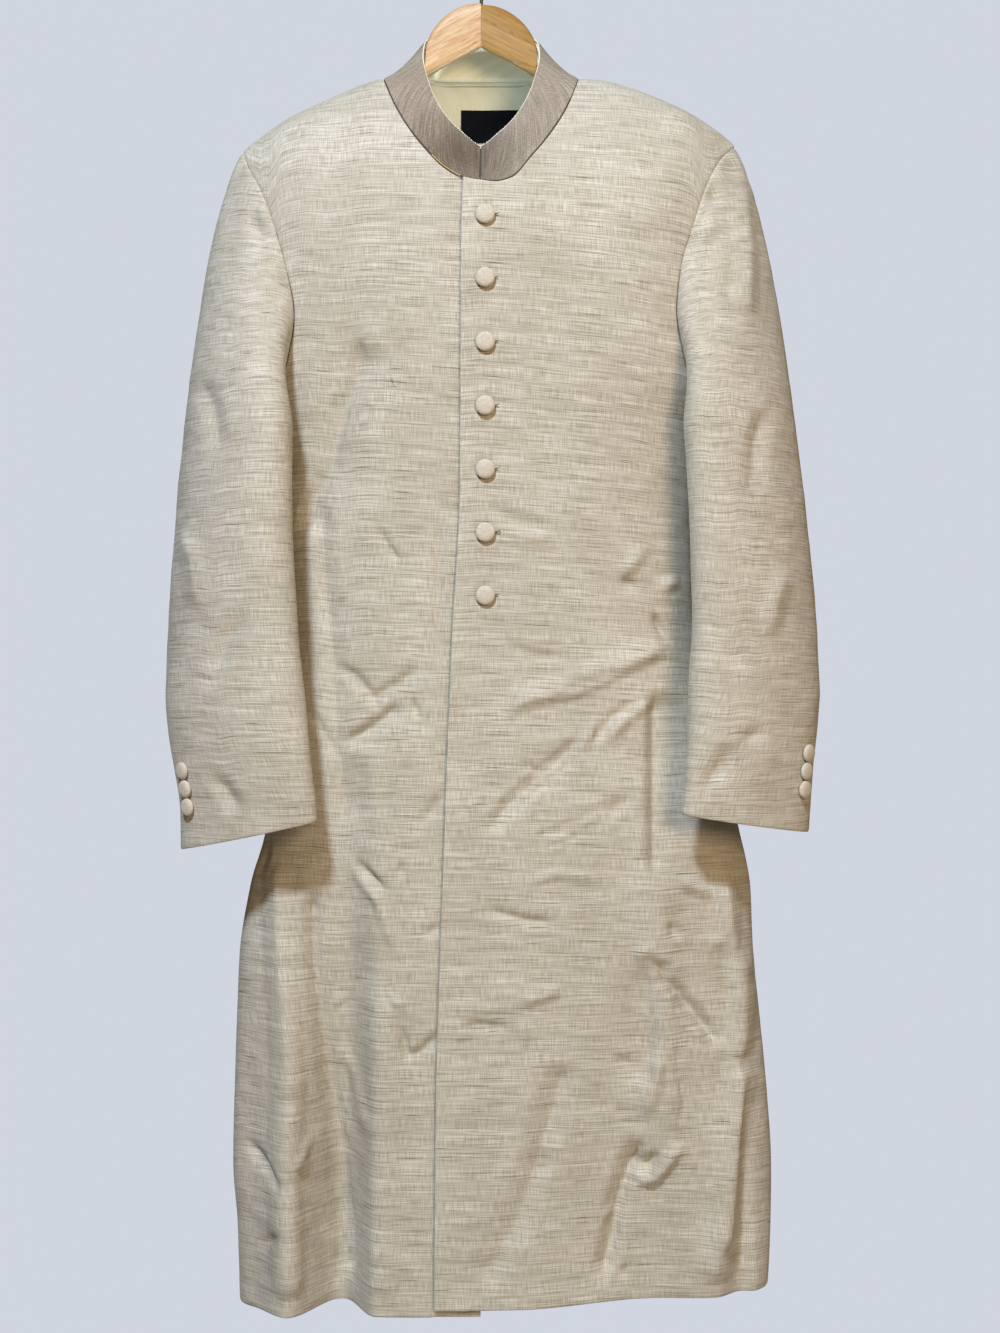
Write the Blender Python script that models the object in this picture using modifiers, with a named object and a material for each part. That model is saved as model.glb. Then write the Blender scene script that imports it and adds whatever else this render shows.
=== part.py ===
"""Sherwani coat on a wooden hanger, modelled as its sewn pieces.

The origin is the inside top of the hook, where a rail or peg carries the hanger.
+X is the wearer's left, the front faces -Y, and +Z is up.
Heights are given as drops: metres below the origin.
"""

import math

import bmesh
import bpy
from mathutils import Vector

# ---- driving dimensions, metres ----
CLOTH = 0.0016            # wall of the fused outer cloth
LINING = 0.0012           # wall of the lining
LABEL = 0.0008            # wall of the woven label
SEAM = 0.00045            # how far a piece stops short of its seam
NECK_SEAM = 0.0012        # the same at the collar, where the pieces meet at an angle
ARMHOLE_SEAM = 0.0009     # the same at the sleeve's head
UNDERARM_SEAM = 0.0032    # and under it, where sleeve and body meet at a sharp angle
SHARP_FROM = 0.40         # share of the armhole where the angle starts to sharpen
SHARP_FADE = 0.40
LAP = 0.0013              # how far each front stands off the shared front surface in the lap
LAP_FROM = {"left": 0.030, "right": -0.045}       # X where each front is back on it
LAP_FADE = 0.045          # and the width over which it comes back
LAYER_GAP = 0.0004        # between a layer and the one that it lies on
COLLAR_LINING_GAP = 0.0007
COLLAR_LINING_SHORT = 0.0015   # its ends stop short of the collar's by this much
LINING_GAP = 0.0010       # the back lining hangs this free of the back
LINING_DROP = 0.300       # how far down the back lining goes
LINING_COLUMNS = 6        # and how many of the back's columns it covers each way
LINING_NECK = 0.0045      # its upper edge below the back's
NECK_LABEL = (-0.020, 0.037, 0.1410, 0.1735)      # left, right, high and low edges
SIZE_TAB = (0.002, 0.024, 0.1748, 0.1930)

SECTION_POWER = 2.3       # roundness of the body's flattened section
NECK_REACH = 0.093        # half the width of the neckline
NECK_ROLL = 0.19          # drop over which the cloth turns down at the neck
TIP_ROLL = 0.11           # the same at the shoulder tip
NECK_POINT_ROLL = 0.045   # the back turns down over this much beside the neck points
NECK_POINT_SPREAD = 0.035 # and over this width to each side of them
CENTRE_BACK_FROM = 0.110  # the back's centre is plumb here, and follows the body's
CENTRE_BACK_FADE = 0.100  # middle this much lower
ARMHOLE_SHARE = 0.26      # share of a panel's outer edge that is armhole
SHOULDER_CROWDING = 1.6   # how closely a panel's rows crowd under the shoulder
ARMHOLE_STEPS = 13        # rows of a panel beside the armhole
SKIRT_STEPS = 12          # and below it
FRONT_SEAM_STEP = 12      # where the sleeve's seams start on the front armhole
ELBOW_SEAM_STEP = 6       # and on the back armhole
FRONT_COLUMNS = {"left": 8, "right": 11}
BACK_COLUMNS = 7
SLEEVE_HEAD_STEPS = 6
SLEEVE_ARM_STEPS = 8
COLLAR_HEIGHTS = (0.0, 0.34, 0.67, 1.0)           # shares up the band
COLLAR_LINING_HEIGHTS = (0.04, 0.35, 0.66, 0.97)

BUTTON_RADIUS = 0.0090
BUTTON_HEIGHT = 0.0062
BUTTON_X = 0.0045
BUTTON_FIRST = 0.280
BUTTON_PITCH = 0.0575
BUTTON_COUNT = 7
CUFF_BUTTON_RADIUS = 0.0082
CUFF_BUTTON_HEIGHT = 0.0055
CUFF_BUTTON_PITCH = 0.0168
CUFF_BUTTON_COUNT = 3
CUFF_BUTTON_TURN = 36.0   # degrees round the sleeve from its outer edge to the front
CUFF_BUTTON_UP = 0.040    # lowest button above the cuff's outer corner
BUTTON_SEAT = 0.0003      # back of a front button off the cloth
CUFF_BUTTON_SEAT = 0.0006 # and of a cuff button
BUTTON_PROFILE = (        # shares of the radius and of the height, from the back
    (0.00, 0.00), (0.50, 0.00), (0.80, 0.10), (0.97, 0.32), (0.98, 0.55), (0.80, 0.82),
    (0.45, 0.97), (0.00, 1.00),
)
BUTTON_SIDES = 14

HOOK_RADIUS = 0.0016
HOOK_BEND = 0.0220        # inside radius of the hook
HOOK_SEAT = 0.0004        # foot of the stem above the wood
HOOK_STEM = ((0.0, -0.0525), (0.0032, -0.0480))   # (x, z) up from the foot
HOOK_TURNS = (-62.0, 205.0)                       # degrees of the bend, from its foot
HOOK_STEPS = 16
HANGER_TOP = 0.0562
HANGER_REACH = 0.212
HANGER_ROUND = 0.0085     # how much the top of the arm's end is rounded off
HANGER_TIP_SHARE = 0.6    # and how wide it still is there
HANGER_SIDES = 14         # sides of the wood's section
HANGER_DEPTH = 0.0120     # the hanger's plane lies this far behind the shoulder seams
HANGER_SEAT = 0.0024      # arm below the cloth's ridge that it carries

# Body sections, one row for each height.
BODY_COLUMNS = ("drop", "left", "right", "middle", "side", "front", "back")
BODY_ROWS = (
    (0.110, 0.245, 0.235, 0.000, 0.000, 0.084, 0.090),
    (0.197, 0.245, 0.232, 0.002, 0.001, 0.088, 0.085),
    (0.300, 0.243, 0.230, 0.004, 0.004, 0.090, 0.084),
    (0.360, 0.240, 0.226, 0.005, 0.007, 0.090, 0.082),
    (0.400, 0.232, 0.219, 0.005, 0.009, 0.090, 0.080),
    (0.430, 0.222, 0.211, 0.006, 0.010, 0.089, 0.078),
    (0.450, 0.213, 0.204, 0.006, 0.011, 0.088, 0.076),
    (0.475, 0.205, 0.196, 0.006, 0.012, 0.087, 0.074),
    (0.550, 0.202, 0.190, 0.006, 0.013, 0.084, 0.069),
    (0.650, 0.205, 0.187, 0.007, 0.013, 0.081, 0.062),
    (0.750, 0.222, 0.193, 0.008, 0.011, 0.079, 0.060),
    (0.845, 0.2450, 0.2047, 0.010, 0.008, 0.077, 0.060),
    (0.900, 0.2555, 0.2195, 0.012, 0.007, 0.075, 0.060),
    (0.960, 0.2580, 0.2290, 0.013, 0.006, 0.073, 0.060),
    (1.020, 0.2640, 0.2315, 0.015, 0.005, 0.071, 0.059),
    (1.100, 0.2715, 0.2340, 0.017, 0.004, 0.069, 0.058),
    (1.160, 0.2750, 0.2350, 0.019, 0.003, 0.067, 0.057),
    (1.220, 0.2740, 0.2305, 0.020, 0.002, 0.066, 0.056),
    (1.290, 0.2710, 0.2285, 0.0215, 0.002, 0.066, 0.056),
)

# The shoulder line, from the neck out; depth is where its ridge lies in Y.
SHOULDER_COLUMNS = ("reach", "left", "right", "depth")
SHOULDER_ROWS = (
    (0.000, 0.134, 0.134, 0.000),
    (0.093, 0.134, 0.134, 0.000),
    (0.111, 0.1350, 0.1390, 0.000),
    (0.140, 0.1420, 0.1510, 0.000),
    (0.180, 0.1580, 0.1700, -0.001),
    (0.200, 0.1680, 0.1830, -0.002),
    (0.225, 0.1845, 0.2020, -0.004),
    (0.240, 0.1970, 0.2150, -0.005),
    (0.260, 0.2150, 0.2320, -0.005),
)

# Armhole seam; share runs from the shoulder tip (0) to the underarm (1), and the
# turns are the degrees round the sleeve that the point leads down to.
ARMHOLE_COLUMNS = (
    "share", "left_drop", "right_drop", "left_front", "right_front",
    "left_back", "right_back", "front_turn", "back_turn",
)
ARMHOLE_ROWS = (
    (0.00, 0.1970, 0.2020, 0.2400, 0.2250, 0.2400, 0.2250, 0.0, 360.0),
    (0.08, 0.2160, 0.2190, 0.2235, 0.2190, 0.2335, 0.2225, 22.0, 347.0),
    (0.18, 0.2420, 0.2430, 0.2100, 0.2060, 0.2265, 0.2165, 45.0, 333.0),
    (0.32, 0.2780, 0.2800, 0.1975, 0.1915, 0.2165, 0.2080, 75.0, 318.0),
    (0.48, 0.3200, 0.3220, 0.1845, 0.1790, 0.2085, 0.2000, 108.0, 303.0),
    (0.64, 0.3610, 0.3650, 0.1800, 0.1712, 0.2045, 0.1955, 138.0, 290.0),
    (0.78, 0.3980, 0.4010, 0.1865, 0.1775, 0.2045, 0.1955, 168.0, 277.0),
    (0.90, 0.4300, 0.4330, 0.1975, 0.1890, 0.2080, 0.1985, 205.0, 262.0),
    (1.00, 0.4500, 0.4550, 0.2130, 0.2040, 0.2130, 0.2040, 245.0, 245.0),
)

# Sleeve sections below the armhole: inner and outer edge of each sleeve, where those
# edges lie in Y, and half the sleeve's depth.
SLEEVE_COLUMNS = (
    "drop", "left_inner", "left_outer", "right_inner", "right_outer",
    "inner_depth", "outer_depth", "half_depth",
)
SLEEVE_ROWS = (
    (0.470, 0.1860, 0.2975, 0.1720, 0.2805, -0.079, -0.006, 0.046),
    (0.540, 0.1900, 0.3055, 0.1715, 0.2870, -0.081, -0.010, 0.046),
    (0.650, 0.1930, 0.3147, 0.1665, 0.2930, -0.084, -0.018, 0.043),
    (0.713, 0.1890, 0.3165, 0.1600, 0.2944, -0.087, -0.026, 0.040),
    (0.750, 0.1883, 0.3131, 0.1560, 0.2910, -0.089, -0.032, 0.037),
    (0.790, 0.1855, 0.3080, 0.1520, 0.2835, -0.091, -0.038, 0.032),
    (0.820, 0.1830, 0.3055, 0.1483, 0.2790, -0.092, -0.042, 0.028),
    (0.862, 0.1810, 0.3020, 0.1465, 0.2775, -0.092, -0.044, 0.026),
)
# Drops of the cuff's lower edge, at the sleeve's inner and outer edge.
CUFF_DROPS = {"left": (0.8235, 0.8430), "right": (0.8300, 0.8590)}
ELBOW_SEAM_CUFF = -8.0    # degrees from the sleeve's outer edge to its elbow seam
SLEEVE_HEAD = 0.36        # share of the sleeve's grid above its first full section
HEAD_LIFT = Vector((0.088, 0.0, -0.135))      # how the head leaves the shoulder tip,
SIDE_LIFT = Vector((0.030, 0.0, -0.040))      # the sides of the armhole
UNDERARM_LIFT = Vector((0.100, 0.0, -0.040))  # and the underarm
UNDERARM_FROM = 0.78      # share of the armhole from which the underarm's lift comes in
SIDE_SWELL = 0.050        # how it swells out of the seam's sides, forwards and back
SWELL_FALL = 1.8          # how far down the armhole the swell is widest
HEAD_FULLNESS = 1.5       # how fast the head's lift fades away from the tip
FULL_LIFT_LENGTH = 0.12   # a shorter stretch from seam to section is lifted less

# Stand collar, from the centre front round to the centre back.
COLLAR_COLUMNS = (
    "station", "left_reach", "left_drop", "right_reach", "right_drop", "back_depth",
    "top_reach", "top_drop", "top_depth",
)
COLLAR_ROWS = (
    (0.00, 0.0004, 0.2475, 0.0004, 0.2475, 0.0000, 0.0004, 0.2100, -0.052),
    (0.09, 0.0140, 0.2490, 0.0156, 0.2445, 0.0000, 0.0070, 0.2055, -0.051),
    (0.18, 0.0290, 0.2450, 0.0320, 0.2350, 0.0000, 0.0150, 0.1980, -0.049),
    (0.28, 0.0470, 0.2240, 0.0520, 0.2140, 0.0000, 0.0265, 0.1865, -0.045),
    (0.38, 0.0660, 0.1980, 0.0690, 0.1900, 0.0000, 0.0380, 0.1700, -0.038),
    (0.49, 0.0810, 0.1700, 0.0815, 0.1655, 0.0000, 0.0490, 0.1430, -0.022),
    (0.60, 0.0930, 0.1340, 0.0930, 0.1340, 0.0000, 0.0555, 0.1110, 0.000),
    (0.70, 0.0885, 0.1310, 0.0885, 0.1310, 0.0230, 0.0545, 0.0900, 0.024),
    (0.80, 0.0690, 0.1230, 0.0690, 0.1230, 0.0450, 0.0430, 0.0780, 0.045),
    (0.90, 0.0350, 0.1165, 0.0350, 0.1165, 0.0560, 0.0225, 0.0740, 0.057),
    (1.00, 0.0000, 0.1155, 0.0000, 0.1155, 0.0600, 0.0000, 0.0730, 0.061),
)
NECK_POINT = 0.60         # station of the shoulder seam
NECK_STATIONS = (
    0.00, 0.09, 0.18, 0.28, 0.38, 0.49, 0.55, 0.60, 0.64, 0.68, 0.74, 0.80, 0.87, 0.94, 1.00,
)

# Front edges: the overlap's shows, the underlap's lies behind it.
EDGE_COLUMNS = ("drop", "overlap", "underlap")
EDGE_ROWS = (
    (0.240, -0.0154, 0.0260),
    (0.300, -0.0172, 0.0250),
    (0.528, -0.0188, 0.0220),
    (0.666, -0.0261, 0.0160),
    (0.886, -0.0344, 0.0090),
    (1.088, -0.0408, 0.0030),
    (1.290, -0.0427, 0.0000),
)

# Drops of the hem, at the front edge and at the side seam.
HEM_DROPS = {"left": (1.2820, 1.2750), "right": (1.2880, 1.2900)}

# The largest folds of the fronts: a line from top to bottom, how far the fold reaches
# to -X and to +X of it, and its depth, where + falls back and - stands forward.
# A fold with hem 1 runs out through the hem; one with hem 0 fades at its lower end.
FOLD_COLUMNS = (
    "x_top", "drop_top", "x_low", "drop_low", "reach_minus", "reach_plus", "depth", "hem",
)
FRONT_FOLDS = (
    (-0.120, 0.690, -0.1300, 1.290, 0.052, 0.034, 0.050, 1),
    (-0.186, 0.820, -0.1790, 1.290, 0.036, 0.046, -0.018, 1),
    (0.120, 0.900, 0.1500, 1.290, 0.110, 0.085, 0.018, 1),
    (0.158, 0.780, 0.1720, 1.180, 0.030, 0.030, -0.008, 0),
    (-0.112, 0.350, -0.1660, 0.560, 0.022, 0.022, 0.006, 0),
    (0.236, 1.000, 0.2420, 1.290, 0.022, 0.018, 0.010, 1),
)
BACK_FOLDS = (
    (-0.085, 0.640, -0.1100, 1.290, 0.055, 0.050, -0.020, 1),
    (0.100, 0.620, 0.1350, 1.290, 0.060, 0.052, -0.022, 1),
    (0.010, 0.760, 0.0300, 1.290, 0.040, 0.042, -0.010, 1),
)

# Hanger arm: the visible head of the hanger, then the arm under the shoulder.
HANGER_COLUMNS = ("reach", "top", "under", "half_width", "depth")
HANGER_HEAD = (
    (0.0002, 0.0562, 0.0992, 0.0150, 0.0120),
    (0.0120, 0.0577, 0.1055, 0.0150, 0.0120),
    (0.0240, 0.0622, 0.1118, 0.0150, 0.0120),
    (0.0360, 0.0708, 0.1184, 0.0149, 0.0120),
    (0.0440, 0.0800, 0.1230, 0.0147, 0.0120),
    (0.0495, 0.0896, 0.1262, 0.0145, 0.0120),
    (0.0522, 0.0985, 0.1280, 0.0142, 0.0119),
    (0.0530, 0.1120, 0.1295, 0.0140, 0.0118),
    (0.0560, 0.1218, 0.1325, 0.0135, 0.0115),
    (0.0740, 0.1315, 0.1430, 0.0125, 0.0100),
    (0.0860, 0.1355, 0.1495, 0.0120, 0.0090),
)
# The arm follows the shoulder above it: how far out, half its width, and its depth.
HANGER_ARM = (
    (0.096, 0.0110, 0.0080),
    (0.125, 0.0110, 0.0055),
    (0.155, 0.0110, 0.0025),
    (0.185, 0.0110, -0.0010),
    (0.205, 0.0105, -0.0035),
)
HANGER_ARM_HEIGHT = 0.0190
HANGER_TIP_HEIGHT = 0.0150
HANGER_SECTION_POWER = 3.6

COAT_CREAM = (0.612, 0.546, 0.405, 1.0)
COLLAR_BEIGE = (0.402, 0.336, 0.243, 1.0)
LINING_LEMON = (0.790, 0.760, 0.480, 1.0)
LABEL_BLACK = (0.006, 0.006, 0.010, 1.0)
WOOD_PALE = (0.720, 0.480, 0.220, 1.0)
STEEL_DARK = (0.090, 0.090, 0.095, 1.0)

SIDES = {"left": 1.0, "right": -1.0}


# ---- reading the tables ----
def read(rows, columns, given, value, wanted):
    """Value of one column where another has the given value, on a smooth curve."""
    key = columns.index(given)
    out = columns.index(wanted)
    xs = [row[key] for row in rows]
    ys = [row[out] for row in rows]
    if value <= xs[0]:
        return ys[0]
    if value >= xs[-1]:
        return ys[-1]
    i = max(k for k in range(len(xs) - 1) if xs[k] <= value)
    step = xs[i + 1] - xs[i]
    t = (value - xs[i]) / step
    rise = (ys[i + 1] - ys[i]) / step
    before = (ys[i] - ys[i - 1]) / (xs[i] - xs[i - 1]) if i else rise
    after = (ys[i + 2] - ys[i + 1]) / (xs[i + 2] - xs[i + 1]) if i + 2 < len(xs) else rise
    start = gentle(before, rise)
    end = gentle(rise, after)
    return (
        ys[i] * (2 * t ** 3 - 3 * t ** 2 + 1)
        + start * step * (t ** 3 - 2 * t ** 2 + t)
        + ys[i + 1] * (3 * t ** 2 - 2 * t ** 3)
        + end * step * (t ** 3 - t ** 2)
    )


def gentle(a, b):
    """Slope at a table row that never overshoots its neighbours."""
    return 0.0 if a * b <= 0.0 else 2.0 * a * b / (a + b)


def mix(a, b, t):
    return a + (b - a) * t


def smooth(t):
    t = min(max(t, 0.0), 1.0)
    return t * t * (3.0 - 2.0 * t)


def side_of(x):
    return "left" if x >= 0.0 else "right"


# ---- the cloth's shared surfaces ----
def body(drop, wanted):
    return read(BODY_ROWS, BODY_COLUMNS, "drop", drop, wanted)


def shoulder(reach, wanted):
    return read(SHOULDER_ROWS, SHOULDER_COLUMNS, "reach", reach, wanted)


def fold_depth(folds, x, drop):
    """How far the folds push the cloth back at a point."""
    total = 0.0
    for fold in folds:
        f = dict(zip(FOLD_COLUMNS, fold))
        t = (drop - f["drop_top"]) / (f["drop_low"] - f["drop_top"])
        if t <= 0.0 or (t >= 1.0 and not f["hem"]):
            continue
        along = smooth(t) if f["hem"] else math.sin(math.pi * t)
        away = x - mix(f["x_top"], f["x_low"], t)
        reach = f["reach_plus"] if away > 0.0 else f["reach_minus"]
        if abs(away) < reach:
            total += f["depth"] * along * 0.5 * (1.0 + math.cos(math.pi * away / reach))
    return total


def surface_depth(face, x, drop):
    """Y of the front or back of the body at a point."""
    side = side_of(x)
    middle = body(drop, "middle")
    half = body(drop, side) - SIDES[side] * middle
    share = min(abs(x - middle) / half, 1.0)
    crown = (1.0 - share ** SECTION_POWER) ** (1.0 / SECTION_POWER)
    reach = abs(x)
    top = shoulder(reach, side)
    edge = shoulder(reach, "depth")
    if face == "front":
        full = body(drop, "side") - body(drop, "front") * crown
        full += fold_depth(FRONT_FOLDS, x, drop) * min(1.0, 3.0 * crown)
        roll = mix(NECK_ROLL, TIP_ROLL, smooth((reach - NECK_REACH) / (0.2 - NECK_REACH)))
    else:
        full = body(drop, "side") + body(drop, "back") * crown
        full -= fold_depth(BACK_FOLDS, x, drop) * min(1.0, 3.0 * crown)
        if reach < NECK_REACH:
            top = neckline_drop("back", x)
            edge = neckline("back", x, "back_depth")
        near = math.exp(-(((reach - NECK_REACH) / NECK_POINT_SPREAD) ** 2))
        roll = mix(TIP_ROLL, NECK_POINT_ROLL, near)
    t = min(max((drop - top) / roll, 0.0), 1.0)
    turned = math.sqrt(1.0 - (1.0 - t) ** 2)
    return mix(edge, full, turned)


def armhole_point(side, face, share):
    """(x, drop) on the armhole seam."""
    drop = read(ARMHOLE_ROWS, ARMHOLE_COLUMNS, "share", share, side + "_drop")
    reach = read(ARMHOLE_ROWS, ARMHOLE_COLUMNS, "share", share, side + "_" + face)
    return SIDES[side] * reach, drop


def neckline(face, x, wanted):
    """Value of a collar column where the neckline passes x."""
    front = [row for row in COLLAR_ROWS if row[0] <= NECK_POINT]
    back = [row for row in reversed(COLLAR_ROWS) if row[0] >= NECK_POINT]
    rows = front if face == "front" else back
    return read(rows, COLLAR_COLUMNS, side_of(x) + "_reach", abs(x), wanted)


def neckline_drop(face, x):
    return neckline(face, x, side_of(x) + "_drop")


def top_point(face, x):
    """(x, drop) on a panel's upper edge: the neckline, then the shoulder seam."""
    if abs(x) < NECK_REACH:
        return x, neckline_drop(face, x)
    return x, shoulder(abs(x), side_of(x))


def outer_point(side, face, v):
    """(x, drop) on a panel's outer edge: the armhole, then the side seam."""
    if v < ARMHOLE_SHARE:
        return armhole_point(side, face, v / ARMHOLE_SHARE)
    underarm = armhole_point(side, face, 1.0)[1]
    drop = mix(underarm, HEM_DROPS[side][1], (v - ARMHOLE_SHARE) / (1.0 - ARMHOLE_SHARE))
    return SIDES[side] * body(drop, side), drop


def inner_point(face, side, v):
    """(x, drop) on a panel's inner edge: the front edge, or the centre of the back."""
    edge = "overlap" if side == "left" else "underlap"
    if face == "front":
        x_top = read(EDGE_ROWS, EDGE_COLUMNS, "drop", EDGE_ROWS[0][0], edge)
        drop = mix(neckline_drop("front", x_top), HEM_DROPS[side][0], v)
        return read(EDGE_ROWS, EDGE_COLUMNS, "drop", drop, edge), drop
    hem = mix(HEM_DROPS["left"][1], HEM_DROPS["right"][1], 0.5)
    drop = mix(neckline_drop("back", 0.0), hem, v)
    return body(drop, "middle") * smooth((drop - CENTRE_BACK_FROM) / CENTRE_BACK_FADE), drop


def panel_point(face, side, u, v):
    """Point of a body panel; u runs from its inner to its outer edge, v down it."""
    inner = inner_point(face, side, v)
    outer = outer_point(side, face, v)
    corner_top = inner_point(face, side, 0.0)
    corner_low = inner_point(face, side, 1.0)
    tip = outer_point(side, face, 0.0)
    side_low = outer_point(side, face, 1.0)
    top = top_point(face, mix(corner_top[0], tip[0], u))
    low = (mix(corner_low[0], side_low[0], u), mix(corner_low[1], side_low[1], u))
    flat = []
    for axis in range(2):
        ruled = mix(top[axis], low[axis], v) + mix(inner[axis], outer[axis], u)
        upper = mix(corner_top[axis], tip[axis], u)
        lower = mix(corner_low[axis], side_low[axis], u)
        flat.append(ruled - mix(upper, lower, v))
    x, drop = flat
    return Vector((x, surface_depth(face, x, drop), -drop))


def front_point(side, u, v):
    """A front panel's point, with the overlap lifted off the underlap."""
    point = panel_point("front", side, u, v)
    past = SIDES[side] * (point.x - LAP_FROM[side])
    point.y -= SIDES[side] * LAP * (1.0 - smooth(past / LAP_FADE))
    return point


def sleeve_section(side, turn, drop):
    """Point of a sleeve below the armhole; turn 0 is its outer edge, 90 its front."""
    def at(wanted):
        return read(SLEEVE_ROWS, SLEEVE_COLUMNS, "drop", drop, wanted)

    inner = at(side + "_inner")
    outer = at(side + "_outer")
    angle = math.radians(turn)
    across = 0.5 * (1.0 + math.cos(angle))
    depth = mix(at("inner_depth"), at("outer_depth"), across)
    depth -= at("half_depth") * math.sin(angle)
    return Vector((SIDES[side] * mix(inner, outer, across), depth, -drop))


def armhole_seam(side, turn):
    """The armhole seam above the given turn of the sleeve, as (face, share, point)."""
    turn %= 360.0
    underarm = read(ARMHOLE_ROWS, ARMHOLE_COLUMNS, "share", 1.0, "front_turn")
    face = "front" if turn <= underarm else "back"
    rows = ARMHOLE_ROWS if face == "front" else ARMHOLE_ROWS[::-1]
    share = read(rows, ARMHOLE_COLUMNS, face + "_turn", turn, "share")
    x, drop = armhole_point(side, face, share)
    return face, share, Vector((x, surface_depth(face, x, drop), -drop))


def sleeve_point(side, turn, v):
    """Point of a sleeve; v runs from the armhole seam to the cuff."""
    first = SLEEVE_ROWS[0][0]
    height = 0.5 * (1.0 + math.cos(math.radians(turn)))     # 1 at the outer edge, 0 inside
    if v >= SLEEVE_HEAD:
        inner_cuff, outer_cuff = CUFF_DROPS[side]
        low = mix(inner_cuff, outer_cuff, height)
        drop = mix(first, low, (v - SLEEVE_HEAD) / (1.0 - SLEEVE_HEAD))
        return sleeve_section(side, turn, drop)
    face, share, seam = armhole_seam(side, turn)
    end = sleeve_section(side, turn, first)
    below = sleeve_section(side, turn, SLEEVE_ROWS[1][0]) - end
    length = (end - seam).length
    leave_end = below.normalized() * length
    leave = SIDE_LIFT.lerp(HEAD_LIFT, height ** HEAD_FULLNESS)
    leave = leave.lerp(UNDERARM_LIFT, smooth((share - UNDERARM_FROM) / (1.0 - UNDERARM_FROM)))
    leave *= min(1.0, length / FULL_LIFT_LENGTH)
    leave.x *= SIDES[side]
    swell = SIDE_SWELL * math.sin(math.pi * share ** SWELL_FALL)
    leave.y = -swell if face == "front" else swell
    w = v / SLEEVE_HEAD
    return (
        seam * (2 * w ** 3 - 3 * w ** 2 + 1)
        + leave * (w ** 3 - 2 * w ** 2 + w)
        + end * (3 * w ** 2 - 2 * w ** 3)
        + leave_end * (w ** 3 - w ** 2)
    )


def collar_at(station, wanted):
    return read(COLLAR_ROWS, COLLAR_COLUMNS, "station", station, wanted)


def collar_point(side, station, height):
    """Point of the stand collar; height 0 is its seam, 1 its top edge."""
    sign = SIDES[side]
    x = sign * collar_at(station, side + "_reach")
    face = "front" if station < NECK_POINT else "back"
    drop = neckline_drop(face, x)
    base = Vector((x, surface_depth(face, x, drop), -drop))
    top = Vector((
        sign * collar_at(station, "top_reach"),
        collar_at(station, "top_depth"),
        -collar_at(station, "top_drop"),
    ))
    return base.lerp(top, height)


# ---- building meshes ----
def material(name, colour, roughness, metallic=0.0):
    made = bpy.data.materials.new(name)
    made.use_nodes = True
    shader = made.node_tree.nodes["Principled BSDF"]
    shader.inputs["Base Color"].default_value = colour
    shader.inputs["Roughness"].default_value = roughness
    shader.inputs["Metallic"].default_value = metallic
    made.diffuse_color = colour
    return made


def add_object(name, bm, surface, collection):
    mesh = bpy.data.meshes.new(name)
    bm.to_mesh(mesh)
    bm.free()
    mesh.materials.append(surface)
    mesh.shade_smooth()
    mesh.set_sharp_from_angle(angle=math.radians(40.0))
    made = bpy.data.objects.new(name, mesh)
    collection.objects.link(made)
    return made


def draw_in(line, beside, gap):
    """Move an edge of a grid towards the line beside it, by a gap square to the edge."""
    drawn = []
    for i, (point, neighbour) in enumerate(zip(line, beside)):
        way = (neighbour - point).normalized()
        along = (line[min(i + 1, len(line) - 1)] - line[max(i - 1, 0)]).normalized()
        square = math.sqrt(max(1.0 - way.dot(along) ** 2, 0.1))
        drawn.append(point + way * gap / square)
    return drawn


def inset(rows, gaps):
    """Draw the edges of a grid of points in: gaps are (first row, last row, sides)."""
    first, last, sides = gaps
    drawn = [list(row) for row in rows]
    drawn[0] = draw_in(rows[0], rows[1], first)
    drawn[-1] = draw_in(rows[-1], rows[-2], last)
    starts = draw_in([row[0] for row in drawn], [row[1] for row in drawn], sides[0])
    ends = draw_in([row[-1] for row in drawn], [row[-2] for row in drawn], sides[1])
    for row, start, end in zip(drawn, starts, ends):
        row[0] = start
        row[-1] = end
    return drawn


def cloth_grid(name, rows, wall, surface, collection, flip=False):
    """A wall of cloth round a grid of points."""
    bm = bmesh.new()
    bmesh.ops.create_grid(
        bm, x_segments=len(rows[0]) - 1, y_segments=len(rows) - 1, size=1.0
    )
    bm.verts.ensure_lookup_table()
    points = [point for row in rows for point in row]
    for vert, point in zip(bm.verts, points):
        vert.co = point
    if flip:
        bmesh.ops.reverse_faces(bm, faces=bm.faces)
    made = add_object(name, bm, surface, collection)
    shell = made.modifiers.new("Wall", "SOLIDIFY")
    shell.thickness = wall
    shell.offset = 0.0
    return made


def panel_columns(face, side, count):
    """Shares across a panel: one for each collar station, then count out to its side."""
    inner = inner_point(face, side, 0.0)[0]
    tip = outer_point(side, face, 0.0)[0]
    neck = [s for s in NECK_STATIONS if s <= NECK_POINT]
    if face == "back":
        neck = [s for s in reversed(NECK_STATIONS) if s >= NECK_POINT]
    xs = [SIDES[side] * collar_at(s, side + "_reach") for s in neck]
    if face == "front":
        xs = ([inner] if side == "left" else [inner, 0.5 * inner]) + xs
    shares = [(x - inner) / (tip - inner) for x in xs]
    last = shares[-1]
    for k in range(1, count + 1):
        t = k / count
        crowned = math.sin(0.5 * math.pi * t) ** (2.0 / SECTION_POWER)
        shares.append(mix(last, 1.0, mix(t, crowned, t)))
    return shares


def armhole_shares():
    """Shares of the armhole seam where the columns of a sleeve meet the panel's rows."""
    return [(k / ARMHOLE_STEPS) ** SHOULDER_CROWDING for k in range(ARMHOLE_STEPS + 1)]


def panel_shares():
    """Shares down a body panel: they crowd where the cloth turns over the shoulder."""
    top = [ARMHOLE_SHARE * share for share in armhole_shares()]
    return top + [mix(ARMHOLE_SHARE, 1.0, (k + 1) / SKIRT_STEPS) for k in range(SKIRT_STEPS)]


def even_steps(count):
    return [k / count for k in range(count + 1)]


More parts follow.
